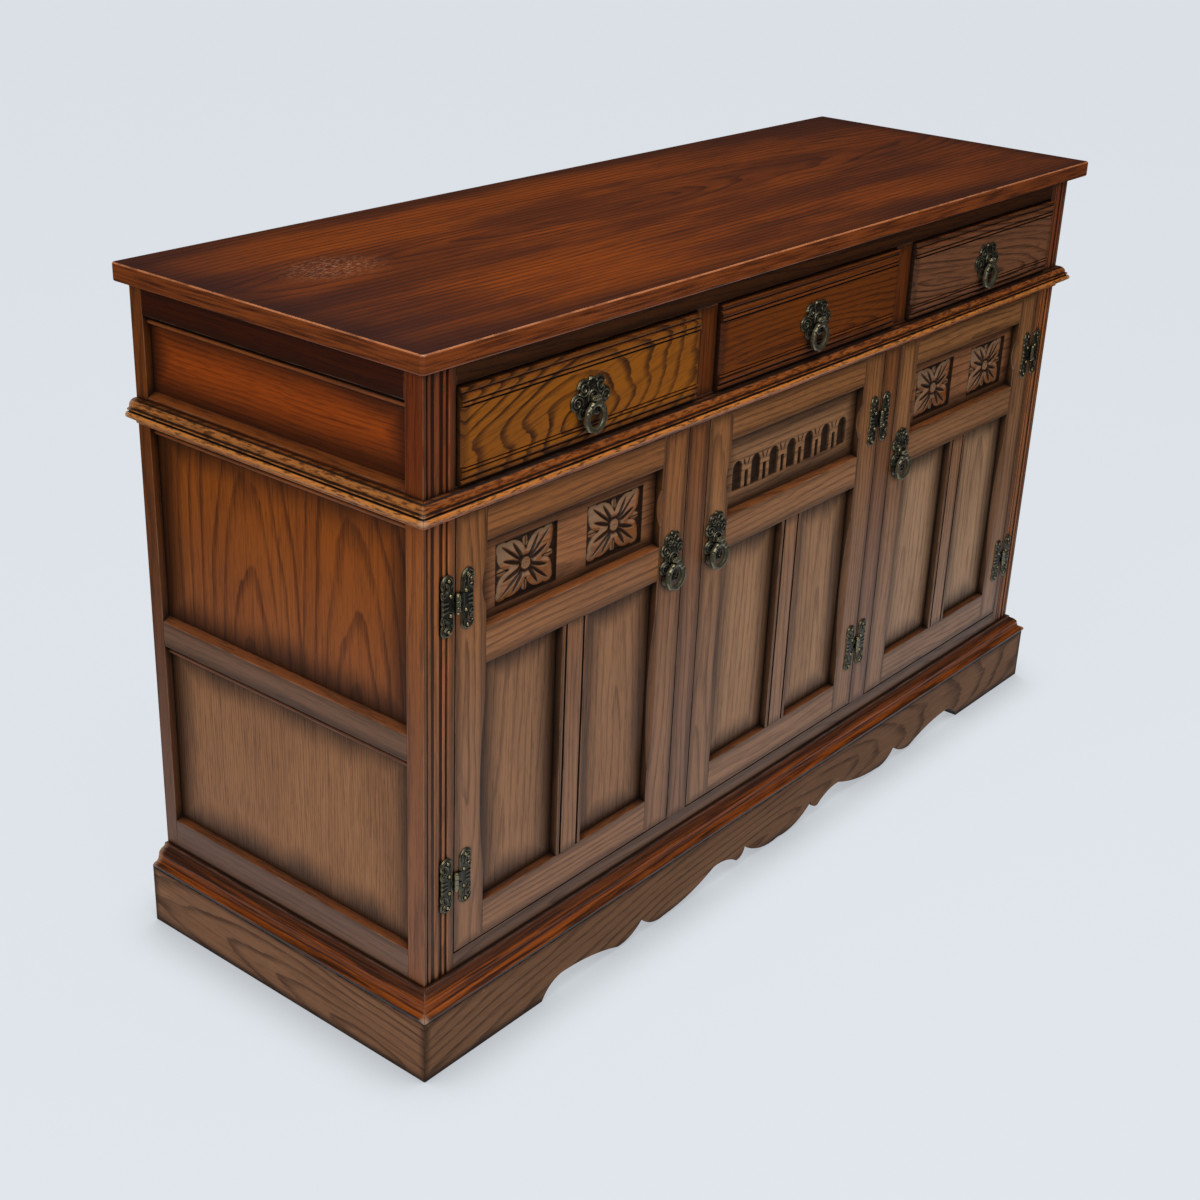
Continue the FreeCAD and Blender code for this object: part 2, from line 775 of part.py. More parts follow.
def rosette(centre_x, centre_z):
    """Sunk oblong with four leaves that reach its corners, round a small boss."""
    face_y = front_y + panel_recess
    half_w = rosette_width / 2
    half_h = rosette_height / 2
    floor_y = face_y + rosette_sink
    low_z = centre_z - half_h
    high_z = centre_z + half_h
    pocket = block(centre_x - half_w, centre_x + half_w, face_y - cut_overrun, floor_y, low_z, high_z)
    start = (0.0, rosette_notch_share)
    ends = [start] + [step[2:] for step in rosette_quarter_shares]
    backwards = [step[:2] + end for step, end in zip(rosette_quarter_shares, ends)][::-1]
    steps = [start] + rosette_quarter_shares
    steps += [(across, -up, end_across, -end_up) for across, up, end_across, end_up in backwards]
    steps += [tuple(-share for share in step) for step in rosette_quarter_shares]
    steps += [(-across, up, -end_across, end_up) for across, up, end_across, end_up in backwards]

    def place(across, up):
        return Vec(centre_x + across * half_w, floor_y, centre_z + up * half_h)

    leaves = traced_face(steps, place).extrude(Vec(0, -rosette_relief, 0))
    boss = rod(rosette_boss_radius, Vec(centre_x, floor_y, centre_z), Vec(0, -rosette_boss_height, 0))
    return pocket, leaves.fuse(boss)


def carved_rosettes(panel, centre):
    centre_z = (door_mid_top_z + door_high_foot_z) / 2 - rosette_drop
    for side in (-1, 1):
        pocket, leaves = rosette(centre + side * rosette_spread, centre_z)
        panel = panel.cut(pocket).fuse(leaves)
    return panel.removeSplitter()


def carved_arcade(panel, centre):
    """A row of sunk round-headed arches with narrow slots between them."""
    face_y = front_y + panel_recess
    z0 = door_mid_top_z + door_mid_ledge + arch_lift
    radius = arch_width / 2
    spring_z = z0 + arch_height - radius
    edge_y = face_y - cut_overrun
    deep_y = face_y + arch_sink
    half_slot = slot_width / 2
    cutters = []
    for index in range(arch_count):
        x = centre + (index - (arch_count - 1) / 2) * arch_pitch
        cutters.append(rod(radius, Vec(x, edge_y, spring_z), Vec(0, deep_y - edge_y, 0)))
        cutters.append(block(x - radius, x + radius, edge_y, deep_y, z0, spring_z))
        if index:
            slot_x = x - arch_pitch / 2
            slot = block(slot_x - half_slot, slot_x + half_slot, edge_y, deep_y, z0, z0 + slot_height)
            cutters.append(slot)
    return cut_all(panel, cutters)


def leaf_outline(x_near, direction, z):
    """A hinge leaf's plate: lobed ends and a waved outer edge."""
    lower = []
    ends = [step[-2:] for step in hinge_leaf_shares]
    for index in range(len(hinge_leaf_shares) - 1, 0, -1):
        step = hinge_leaf_shares[index]
        across, up = ends[index - 1]
        if len(step) == 4:
            lower.append((step[0], -step[1], across, -up))
        else:
            lower.append((across, -up))

    def place(across, up):
        x = x_near + direction * across * hinge_leaf_width
        return Vec(x, front_y, z + up * hinge_leaf_height / 2)

    face = traced_face(hinge_leaf_shares + lower, place)
    plate = face.extrude(Vec(0, -hinge_leaf_thickness, 0))
    eye_across, eye_up = hinge_eye_share
    for up in (-eye_up, eye_up):
        start = place(eye_across, up) + Vec(0, cut_overrun, 0)
        plate = plate.cut(rod(hinge_eye_radius, start, Vec(0, -hinge_leaf_thickness - 2 * cut_overrun, 0)))
    nails = []
    for across, up in hinge_nail_shares:
        for flip in (-1, 1):
            nails.append(nail(place(across, flip * up) - Vec(0, hinge_leaf_thickness, 0)))
    return plate, nails


def nail(seat):
    """The low domed head of a nail, turned from its half profile."""
    radius = (nail_radius ** 2 + nail_height ** 2) / (2 * nail_height)
    centre = seat + Vec(0, radius - nail_height, 0)
    tip = seat - Vec(0, nail_height, 0)
    rim = seat + Vec(nail_radius, 0, 0)
    between = (tip - centre) + (rim - centre)
    dome = Part.Arc(tip, centre + between.normalize() * radius, rim).toShape()
    base = Part.LineSegment(rim, seat).toShape()
    axis = Part.LineSegment(seat, tip).toShape()
    return Part.Face(Part.Wire([dome, base, axis])).revolve(seat, Vec(0, 1, 0), 360)


def knuckle(x, y, z0, z1, bore):
    outer = rod(hinge_knuckle_radius, Vec(x, y, z0), Vec(0, 0, z1 - z0))
    return outer.cut(rod(bore, Vec(x, y, z0 - cut_overrun), Vec(0, 0, z1 - z0 + 2 * cut_overrun)))


def leaf_tab(x, x_near, z0, z1):
    """The flat strip that joins a leaf to its knuckle; it ends inside the knuckle's wall."""
    x0, x1 = sorted((x, x_near))
    y0 = front_y - hinge_leaf_thickness + hinge_knuckle_gap
    return block(x0, x1, y0, front_y - hinge_knuckle_gap, z0, z1)


def hinge(x, outward, z):
    """One hinge about the upright line at x; outward points from the door to the frame."""
    y = front_y - hinge_standoff
    frame_near = x + outward * hinge_frame_leaf_set_back
    door_near = x - outward * hinge_door_leaf_set_back
    frame_leaf, frame_nails = leaf_outline(frame_near, outward, z)
    door_leaf, door_nails = leaf_outline(door_near, -outward, z)
    half = hinge_barrel_length / 2
    mid = hinge_mid_knuckle / 2
    frame_bore = hinge_pin_radius + hinge_pin_press
    door_bore = hinge_pin_radius + hinge_pin_play
    frame_leaf = frame_leaf.fuse(leaf_tab(x, frame_near, z - mid, z + mid))
    frame_leaf = frame_leaf.fuse(knuckle(x, y, z - mid, z + mid, frame_bore))
    for z0, z1 in ((z - half, z - mid - hinge_knuckle_gap), (z + mid + hinge_knuckle_gap, z + half)):
        door_leaf = door_leaf.fuse(leaf_tab(x, door_near, z0, z1))
        door_leaf = door_leaf.fuse(knuckle(x, y, z0, z1, door_bore))
    end = half + hinge_knuckle_gap
    pin = rod(hinge_pin_radius, Vec(x, y, z - end), Vec(0, 0, 2 * end))
    for z0 in (z - end - hinge_pin_head_height, z + end):
        pin = pin.fuse(rod(hinge_pin_head_radius, Vec(x, y, z0), Vec(0, 0, hinge_pin_head_height)))
    return [frame_leaf, pin] + frame_nails, [door_leaf] + door_nails


def handle_plate(centre_x, face_y, centre_z, width, height, shares, pivot_rise):
    """The cast plate with its boss, two ears and the pin between them."""
    outline = both_halves(shares)

    def place(across, up):
        return Vec(centre_x + across * width / 2, face_y, centre_z + up * height / 2)

    plate = traced_face(outline, place).extrude(Vec(0, -plate_thickness, 0))
    for across, up in plate_hole_shares:
        for flip in (-1, 1):
            start = place(flip * across, up) + Vec(0, cut_overrun, 0)
            plate = plate.cut(rod(plate_hole_radius, start, Vec(0, -plate_thickness - 2 * cut_overrun, 0)))
    plate_y = face_y - plate_thickness
    boss = rod(boss_radius, Vec(centre_x, plate_y, centre_z + pivot_rise), Vec(0, -boss_height, 0))
    plate = plate.fuse(boss)
    pivot = Vec(centre_x, face_y - pivot_standoff, centre_z + pivot_rise)
    inner = ring_knuckle_length / 2 + ring_side_gap
    outer = inner + ear_thickness
    for x0 in (-outer, inner):
        start = Vec(pivot.x + x0, pivot.y, pivot.z)
        ear = rod(ear_radius, start, Vec(ear_thickness, 0, 0))
        low_z, high_z = pivot.z - ear_radius, pivot.z + ear_radius
        ear = ear.fuse(block(start.x, start.x + ear_thickness, pivot.y, plate_y, low_z, high_z))
        plate = plate.fuse(ear)
    pin = rod(ring_pin_radius, pivot - Vec(outer, 0, 0), Vec(2 * outer, 0, 0))
    return plate.fuse(pin).removeSplitter(), pivot


def ring(pivot):
    """The ring: a thick lozenge with chamfered rims, an oval hole, a neck and a bored knuckle."""
    half = ring_thickness / 2
    top = pivot.z - ring_neck
    centre_z = top - ring_height / 2
    half_w = ring_width / 2
    half_h = ring_height / 2
    back = pivot.y + half
    points = ring_shares + [(-across, up) for across, up in ring_shares[-2:0:-1]]

    def place(across, up):
        return Vec(pivot.x + across * half_w, back, centre_z + up * half_h)

    face = traced_face(points, place)
    body = face.extrude(Vec(0, -ring_thickness, 0))
    rims = [edge for edge in body.Edges if edge.BoundBox.YLength < half]
    body = body.makeChamfer(ring_chamfer, rims)
    oval = Part.Wire(Part.Ellipse(Vec(0, 0, 0), ring_hole_height / 2, ring_hole_width / 2).toShape())
    oval.rotate(Vec(0, 0, 0), Vec(0, 1, 0), -90)
    oval.rotate(Vec(0, 0, 0), Vec(0, 0, 1), 90)
    oval.translate(Vec(pivot.x, back + half, centre_z + ring_hole_rise))
    body = body.cut(Part.Face(oval).extrude(Vec(0, -2 * ring_thickness, 0)))
    half_neck = ring_knuckle_length / 2
    slim = ring_knuckle_radius - ring_chamfer / 2
    neck_z = top - 2 * ring_chamfer
    neck = block(pivot.x - half_neck, pivot.x + half_neck, pivot.y - slim, pivot.y + slim, neck_z, pivot.z)
    barrel = rod(ring_knuckle_radius, pivot - Vec(half_neck, 0, 0), Vec(2 * half_neck, 0, 0))
    body = body.fuse(neck).fuse(barrel)
    bore = ring_pin_radius + ring_pin_play
    body = body.cut(rod(bore, pivot - Vec(2 * half_neck, 0, 0), Vec(4 * half_neck, 0, 0)))
    return body.removeSplitter()


def door_catch(centre, free_side):
    """A catch under the waist rail, just behind the door's free edge."""
    x = centre + free_side * (opening_width / 2 - catch_set_in)
    back = frame_back_y + catch_depth
    door_back = front_y + door_thickness + catch_clearance
    half = catch_width / 2
    hung = block(x - half, x + half, frame_back_y, back, door_head_z, dust_under_z)
    stop = block(x - half, x + half, door_back, back, door_head_z - catch_drop, door_head_z)
    return hung.fuse(stop).removeSplitter()


door_names = ["door_left", "door_centre", "door_right"]
drawer_names = ["drawer_left", "drawer_centre", "drawer_right"]
hinge_sides = [-1, 1, 1]
carvings = [carved_rosettes, carved_arcade, carved_rosettes]
hinge_heights = [door_head_z - hinge_upper_drop, door_sill_z + hinge_lower_rise]
hinge_lines = [
    centre + side * (opening_width / 2 - door_gap / 2) for centre, side in zip(bay_centres, hinge_sides)
]
door_handle_x = [
    centre - side * (opening_width / 2 - door_gap - door_stile_width / 2)
    for centre, side in zip(bay_centres, hinge_sides)
]
door_plate_z = door_head_z - door_handle_drop - door_plate_height / 2
drawer_mid_z = (drawer_sill_z + drawer_gap_under + drawer_head_z - drawer_gap_over) / 2
drawer_plate_z = drawer_mid_z - drawer_handle_drop


def carcass_nodes():
    nodes = {}
    rails, panels, beads, side_cuts = side_frame()
    bottom_rail, bottom_tenons = front_rail(feet_z, door_sill_z)
    waist_rail, waist_tenons = front_rail(door_head_z, drawer_sill_z)
    top_rail, top_tenons = front_rail(drawer_head_z, under_top_z)
    front_tenons = bottom_tenons + waist_tenons + top_tenons
    nodes["top_board"] = [top_board()]
    nodes["front_posts"] = front_posts(side_cuts + front_tenons)
    nodes["rear_posts"] = rear_posts(side_cuts)
    nodes["front_top_rail"] = [top_rail]
    nodes["front_waist_rail"] = [waist_rail]
    nodes["front_bottom_rail"] = [bottom_rail]
    nodes["drawer_muntins"] = muntins(drawer_sill_z, drawer_head_z)
    nodes["door_muntins"] = muntins(door_sill_z, door_head_z)
    nodes["side_rails"] = [mirrored(rail) for rail in rails] + rails
    nodes["side_panels"] = [mirrored(panel) for panel in panels] + panels
    nodes["panel_beads"] = [mirrored(bead) for bead in beads] + beads
    nodes["waist_moulding"] = moulding_lengths(
        waist_mould_shares, waist_mould_reach, waist_mould_height, door_head_z
    )
    nodes["base_moulding"] = moulding_lengths(
        base_mould_shares, base_mould_reach, base_mould_height, plinth_height
    )
    nodes["plinth_front"] = [plinth_front()]
    nodes["plinth_sides"] = plinth_sides()
    nodes["plinth_back"] = [plinth_back()]
    nodes["plinth_blocks"] = plinth_blocks()
    nodes["back_rails"] = back_rails()
    nodes["back_panel"] = [back_panel()]
    nodes["cupboard_floor"] = [cupboard_floor()]
    nodes["dust_board"] = [dust_board()]
    nodes["partitions"] = partitions()
    nodes["shelves"] = shelves()
    nodes["shelf_battens"] = shelf_battens()
    nodes["drawer_runners"] = drawer_runners()
    nodes["kicker_rails"] = kicker_rails()
    nodes["drawer_guides"] = drawer_guides()
    nodes["door_catches"] = [
        door_catch(centre, -side) for centre, side in zip(bay_centres, hinge_sides)
    ]
    return nodes


def door_nodes(index, frame_leaves):
    """Nodes of one door; the hinge leaves that stay on the frame go to frame_leaves."""
    name = door_names[index]
    centre = bay_centres[index]
    frame, panels = door_frame(centre)
    leaves = []
    for z in hinge_heights:
        fixed, moving = hinge(hinge_lines[index], hinge_sides[index], z)
        frame_leaves += fixed
        leaves += moving
    plate, pivot = handle_plate(
        door_handle_x[index], front_y, door_plate_z,
        door_plate_width, door_plate_height, door_plate_shares, pivot_rise_door,
    )
    return {
        name + "_frame": frame,
        name + "_carved_panel": [carvings[index](panels[0], centre)],
        name + "_lower_panels": panels[1:],
        name + "_hinge_leaves": leaves,
        name + "_handle_plate": [plate],
        name + "_ring": [ring(pivot)],
    }


def drawer_nodes(index):
    name = drawer_names[index]
    centre = bay_centres[index]
    plate, pivot = handle_plate(
        centre, front_y - drawer_proud, drawer_plate_z,
        drawer_plate_width, drawer_plate_height, drawer_plate_shares, pivot_rise_drawer,
    )
    return {
        name + "_front": [drawer_front(centre)],
        name + "_box": drawer_box(centre),
        name + "_handle_plate": [plate],
        name + "_ring": [ring(pivot)],
    }


def build():
    nodes = carcass_nodes()
    frame_leaves = []
    for index in range(len(bay_centres)):
        nodes.update(door_nodes(index, frame_leaves))
        nodes.update(drawer_nodes(index))
    nodes["hinge_frame_leaves"] = frame_leaves
    return nodes


os.makedirs("parts", exist_ok=True)
model = build()
for node, solids in model.items():
    shape = solids[0] if len(solids) == 1 else Part.makeCompound(solids)
    shape.exportStep("parts/" + node + ".step")
    box = shape.BoundBox
    heights = (round(box.ZMin, 1), round(box.ZMax, 1))
    print(node, len(shape.Solids), "solids,", round(shape.Volume), "mm3, z", heights)
print(len(model), "nodes")
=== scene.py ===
import bmesh
import bpy
import cmath
import json
import math
import random
import numpy as np
from mathutils import Matrix, Vector

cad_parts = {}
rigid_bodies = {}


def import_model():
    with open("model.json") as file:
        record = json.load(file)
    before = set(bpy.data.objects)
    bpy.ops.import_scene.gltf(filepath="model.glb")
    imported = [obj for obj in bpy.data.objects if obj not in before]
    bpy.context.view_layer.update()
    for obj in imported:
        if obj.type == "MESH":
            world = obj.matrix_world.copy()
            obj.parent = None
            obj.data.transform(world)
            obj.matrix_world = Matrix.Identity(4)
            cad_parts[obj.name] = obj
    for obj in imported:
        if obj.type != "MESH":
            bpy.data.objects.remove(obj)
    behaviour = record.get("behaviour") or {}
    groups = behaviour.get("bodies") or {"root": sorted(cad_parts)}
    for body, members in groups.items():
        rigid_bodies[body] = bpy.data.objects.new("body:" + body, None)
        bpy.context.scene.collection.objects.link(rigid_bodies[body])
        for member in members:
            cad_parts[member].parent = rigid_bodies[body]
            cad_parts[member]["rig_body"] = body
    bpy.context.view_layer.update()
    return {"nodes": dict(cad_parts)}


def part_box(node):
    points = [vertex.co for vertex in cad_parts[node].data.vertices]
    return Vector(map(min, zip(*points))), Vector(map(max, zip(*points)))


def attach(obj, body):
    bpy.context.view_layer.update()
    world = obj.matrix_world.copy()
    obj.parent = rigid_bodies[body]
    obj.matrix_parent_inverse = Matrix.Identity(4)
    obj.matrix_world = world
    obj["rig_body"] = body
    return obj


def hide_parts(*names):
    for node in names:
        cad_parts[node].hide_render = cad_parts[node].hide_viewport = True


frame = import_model()

mm = 0.001
nodes = frame["nodes"]
front_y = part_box("front_posts")[0].y / mm

# The photograph's view: a lens and a square film in millimetres
camera_place = Vector((-1.8626, -1.3823, 1.3476))
camera_target = Vector((-0.0118, 0.0875, 0.2640))
camera_roll = math.radians(2.4)
camera_lens = 55.02
camera_film = 36.0

# Settings for the wooden boards
weld = 2e-6
flat_angle = math.radians(0.6)
arris_angle = math.radians(50)
arris_width = 0.9 * mm
panel_tongue = 6 * mm

# Edges sharper than this aren't shaded smooth
wood_sharp = math.radians(32)
carved_sharp = math.radians(40)
metal_sharp = math.radians(38)

# A rim darkens a board towards its edges: inset, width and strength
plain_rim = (0.0, 0.014, 0.64)

# Stains, as shares of the common oak colour, one for each board of a node in turn; the greyer, bluer shares of
# the lower and farther boards also paint in the floor's reflected sheen
plain_stain = (1.0, 1.0, 1.0)
stains_and_sheen = {
    "top_board": [(0.62, 0.43, 0.15)],
    "front_posts": [(1.95, 1.90, 1.7)],
    "rear_posts": [(0.92, 0.80, 0.40)],
    "front_top_rail": [(0.18, 0.17, 0.08)],
    "front_waist_rail": [(0.7, 0.55, 0.3)],
    "front_bottom_rail": [(0.30, 0.32, 0.32)],
    "door_muntins": [(0.62, 0.70, 0.9)],
    "drawer_muntins": [(0.36, 0.28, 0.10)],
    "side_rails": [(0.32, 0.28, 0.26), (0.34, 0.36, 0.36), (0.50, 0.38, 0.14), (0.14, 0.08, 0.02)],
    "side_panels": [(0.92, 1.30, 2.5), (0.75, 0.60, 0.04), (0.92, 0.54, 0.0)],
    "panel_beads": [(1.3, 1.2, 1.2)],
    "waist_moulding": [(1.3, 1.0, 0.24)],
    "base_moulding": [(0.60, 0.44, 0.14)],
    "plinth_front": [(0.38, 0.50, 0.72)],
    "plinth_sides": [(0.60, 0.86, 1.9)],
    "drawer_left_front": [(0.72, 0.74, 0.04)],
    "drawer_centre_front": [(0.40, 0.30, 0.0)],
    "drawer_right_front": [(0.49, 0.65, 1.6)],
}
# Painted reflection: each door farther to the right gets a greyer, bluer share, for more of the floor's sheen
for door, frame_stain_sheen, lower_stain_sheen, carved_stain_sheen in (
    ("door_left", (0.84, 1.06, 1.5), (0.84, 1.28, 2.9), (0.92, 1.22, 2.5)),
    ("door_centre", (0.84, 1.14, 1.8), (1.0, 1.70, 4.3), (0.86, 1.38, 3.2)),
    ("door_right", (0.84, 1.18, 2.0), (1.20, 2.30, 6.8), (0.84, 1.14, 2.5)),
):
    stains_and_sheen[door + "_frame"] = [frame_stain_sheen]
    stains_and_sheen[door + "_lower_panels"] = [lower_stain_sheen]
    stains_and_sheen[door + "_carved_panel"] = [carved_stain_sheen]


def curve_points(shares, half_u, half_v, step):
    """Points along an outline whose pairs are lines and whose fours are arcs through a middle point."""
    def at(u, v):
        return complex(u * half_u, v * half_v)

    points = [at(*shares[0])]
    for *middle, u, v in shares[1:]:
        if middle:
            points += arc_points(points[-1], at(*middle), at(u, v), step)
        points.append(at(u, v))
    return [(point.real, point.imag) for point in points]


def arc_points(start, middle, end, step):
    """Points between start and end on the circle through the three, all as complex numbers."""
    share = (end - start) / (middle - start)
    centre = start + (middle - start) * (share - abs(share) ** 2) / (2j * share.imag)
    turn, sweep = (cmath.phase((point - centre) / (start - centre)) % math.tau for point in (middle, end))
    if turn > sweep:
        sweep -= math.tau
    count = max(2, int(abs(sweep) * abs(start - centre) / step) + 1)
    return [centre + (start - centre) * cmath.exp(1j * sweep * i / count) for i in range(1, count)]


def indexed(faces):
    """The corners of the faces in the order that they come, and the faces with a number for each corner."""
    index = {}
    for face in faces:
        for corner in face:
            index.setdefault(corner, len(index))
    return list(index), [[index[corner] for corner in face] for face in faces]


def rows_of(total, count):
    return [list(range(start, start + count)) for start in range(0, total, count)]


def loft(rows):
    """Faces between closed rows of corners; a row of one corner is a tip."""
    faces = []
    for lower, upper in zip(rows, rows[1:]):
        for i in range(max(len(lower), len(upper))):
            face = [lower[i % len(lower)], lower[(i + 1) % len(lower)]]
            face += [upper[(i + 1) % len(upper)], upper[i % len(upper)]]
            faces.append(list(dict.fromkeys(face)))
    return faces


def outward(points, faces):
    """Turns the faces of a closed solid so that they look outwards."""
    bm = bmesh.new()
    verts = [bm.verts.new(p) for p in points]
    for face in faces:
        bm.faces.new([verts[i] for i in face])
    bm.verts.index_update()
    bmesh.ops.recalc_face_normals(bm, faces=bm.faces)
    faces = [[v.index for v in f.verts] for f in bm.faces]
    bm.free()
    return points, faces


def prism(outline, stations, axis):
    """A closed solid with the same outline at each station along u (axis 0) or v (axis 1)."""
    points = [pair[:axis] + (station,) + pair[axis:] for station in stations for pair in outline]
    rows = rows_of(len(points), len(outline))
    return outward(points, loft(rows) + [rows[0], rows[-1]])


def turned(profile, segments=20):
    """A lathe-turned solid: pairs of radius and distance along its axis, in millimetres."""
    points, rows = [], []
    for radius, along in profile:
        count = segments if radius else 1
        rows.append(list(range(len(points), len(points) + count)))
        for i in range(count):
            angle = math.tau * i / segments
            points.append((radius * math.cos(angle), radius * math.sin(angle), along))
    return points, loft(rows) + [row for row in (rows[0][::-1], rows[-1]) if len(row) > 2]


# Fields: distances in millimetres to an outline, below zero inside it
def disc(u, v, centre_u, centre_v, radius):
    return np.hypot(u - centre_u, v - centre_v) - radius


def bar(u, v, start, end, radius):
    """A straight bar with round ends."""
    du, dv = end[0] - start[0], end[1] - start[1]
    share = np.clip(((u - start[0]) * du + (v - start[1]) * dv) / (du * du + dv * dv), 0, 1)
    return np.hypot(u - start[0] - share * du, v - start[1] - share * dv) - radius


def bow(u, v, centre, radius, start, sweep, half):
    """A bar bent along an arc that turns anticlockwise from start, in degrees."""
    du, dv = u - centre[0], v - centre[1]
    turn = (np.degrees(np.arctan2(dv, du)) - start) % 360
    along = np.abs(np.hypot(du, dv) - radius)
    tips = []
    for degrees in (start, start + sweep):
        angle = math.radians(degrees)
        tips.append(np.hypot(du - radius * math.cos(angle), dv - radius * math.sin(angle)))
    return np.where(turn <= sweep, along, np.minimum(*tips)) - half


def swirl(u, v, centre, inner, outer, start, turns):
    """Distance to the middle of a spiral that opens anticlockwise from inner to outer radius."""
    du, dv = u - centre[0], v - centre[1]
    radius = np.hypot(du, dv)
    turn = ((np.degrees(np.arctan2(dv, du)) - start) % 360) / 360
    best = np.full(np.shape(radius), 1e3)
    for whole in range(int(turns) + 1):
        share = (turn + whole) / turns
        best = np.where(share <= 1, np.minimum(best, np.abs(radius - inner - (outer - inner) * share)), best)
    return best


def soft_union(fields, soft):
    """The outlines joined with a fillet of about the given size."""
    joined = fields[0]
    for other in fields[1:]:
        overlap = np.maximum(soft - np.abs(joined - other), 0) / soft
        joined = np.minimum(joined, other) - overlap * overlap * soft / 4
    return joined


def smooth(value, low, high):
    share = np.clip((value - low) / (high - low), 0, 1)
    return share * share * (3 - 2 * share)


def ridge(distance, width):
    return np.exp(-((distance / width) ** 2))


def cast(field, relief, low, high, step):
    """Points and faces of a casting: its outline from a field, its height from the relief above a flat back."""
    along_u = np.linspace(low[0], high[0], int((high[0] - low[0]) / step) + 1)
    along_v = np.linspace(low[1], high[1], int((high[1] - low[1]) / step) + 1)
    u, v = np.meshgrid(along_u, along_v, indexing="ij")
    distance = field(u, v)
    tiny = step / 50
    slope_u = (field(u + tiny, v) - field(u - tiny, v)) / (2 * tiny)
    slope_v = (field(u, v + tiny) - field(u, v - tiny)) / (2 * tiny)
    steep = np.maximum(slope_u ** 2 + slope_v ** 2, 0.05)
    near = np.abs(distance) < step * 0.55
    u = np.where(near, u - distance * slope_u / steep, u)
    v = np.where(near, v - distance * slope_v / steep, v)
    kept = near | (distance < 0)
    height = relief(u, v, np.where(near, 0.0, -distance))
    faces = []
    rows, columns = u.shape
    for i in range(rows - 1):
        for j in range(columns - 1):
            corners = [(i, j), (i + 1, j), (i + 1, j + 1), (i, j + 1)]
            corners = [c for c in corners if kept[c]]
            if len(corners) > 2 and not all(near[c] for c in corners):
                faces.append(corners)
    corners, fronts = indexed(faces)
    count = len(corners)
    points = [(u[c], v[c], height[c]) for c in corners] + [(u[c], v[c], 0.0) for c in corners]
    edges = dict.fromkeys((a, b) for face in fronts for a, b in zip(face, face[1:] + face[:1]))
    walls = [[b, a, count + a, count + b] for a, b in edges if (b, a) not in edges]
    backs = [[count + i for i in face[::-1]] for face in fronts]
    return points, fronts + walls + backs


def fold_across(u, v):
    return np.abs(u), v


def fold_down(u, v):
    return u, np.abs(v)


def casting(low, high, step, fold, fillet, lobes, holes, edge, dome, features, limits):
    """A casting: lobes joined by fillets and pierced by holes, its relief from an edge, a dome and features.

    Lobes and holes are a field and its numbers; features have their height and width before these. An edge
    is a rise and its width, a dome its height, stretch along u and v, reach and fall."""
    def field(u, v):
        u, v = fold(u, v)
        outline = soft_union([shape(u, v, *numbers) for shape, *numbers in lobes], fillet)
        for shape, *numbers in holes:
            outline = np.maximum(outline, -shape(u, v, *numbers))
        return outline

    def relief(u, v, depth):
        u, v = fold(u, v)
        top, stretch_u, stretch_v, reach, fall = dome
        height = 0.9 + edge[0] * smooth(depth, 0.0, edge[1])
        height += top * smooth(reach - np.hypot(u * stretch_u, v * stretch_v), 0, fall)
        for rise, width, shape, *numbers in features:
            height += rise * ridge(shape(u, v, *numbers), width)
        return np.clip(height, *limits)

    return cast(field, relief, low, high, step)


class Metal:
    """Collects castings and turned parts into the bronze piece that replaces a node."""

    def __init__(self, node):
        self.node = node
        self.points, self.faces, self.bright = [], [], []

    def add(self, shape, place, bright=0.0):
        """Adds a shape in millimetres; place turns its u, v and height into a point in metres."""
        points, faces = shape
        start = len(self.points)
        self.points += [place(*p) for p in points]
        origin, *tips = (Vector(place(*p)) for p in ((0, 0, 0), (1, 0, 0), (0, 1, 0), (0, 0, 1)))
        sides = [tip - origin for tip in tips]
        mirrored = sides[0].cross(sides[1]).dot(sides[2]) < 0
        for face in faces:
            face = [start + i for i in face]
            self.faces.append(face[::-1] if mirrored else face)
        self.bright += [bright] * len(faces)

    def finish(self):
        build(self.node + "_cast", self.node, bronze_finish, self.points, self.faces,
              {"bright": ("FACE", self.bright)}, metal_sharp)


def facing(x, y, z, side=1):
    """Places a shape on a face that looks towards -Y: u runs to the side, v up and height outwards."""
    return lambda u, v, h: ((x + side * u) * mm, (y - h) * mm, (z + v) * mm)


def upright(x, y, z):
    return lambda u, v, h: ((x + u) * mm, (y + v) * mm, (z + h) * mm)


def level(x, y, z):
    return lambda u, v, h: ((x + h) * mm, (y + u) * mm, (z + v) * mm)


# H hinges, in millimetres. A leaf runs from its inner edge (0) to its outer edge, both halves alike
leaf_width = 19.5
leaf_half = 35.0
leaf_nails = [(8.4, 28.7), (5.7, 10.9)]
frame_set_back = 3.6
door_set_back = 7.6
barrel_half = 9.5
middle_half = 3.3
knuckle_radius = 2.9
knuckle_gap = 0.3
barrel_y = front_y - 3.3
strap_overlap = 3.5
strap_ease = 0.4
pin_tip = [(2.0, 0), (2.3, 0.5), (2.0, 1.2), (1.1, 1.55), (0, 1.6)]

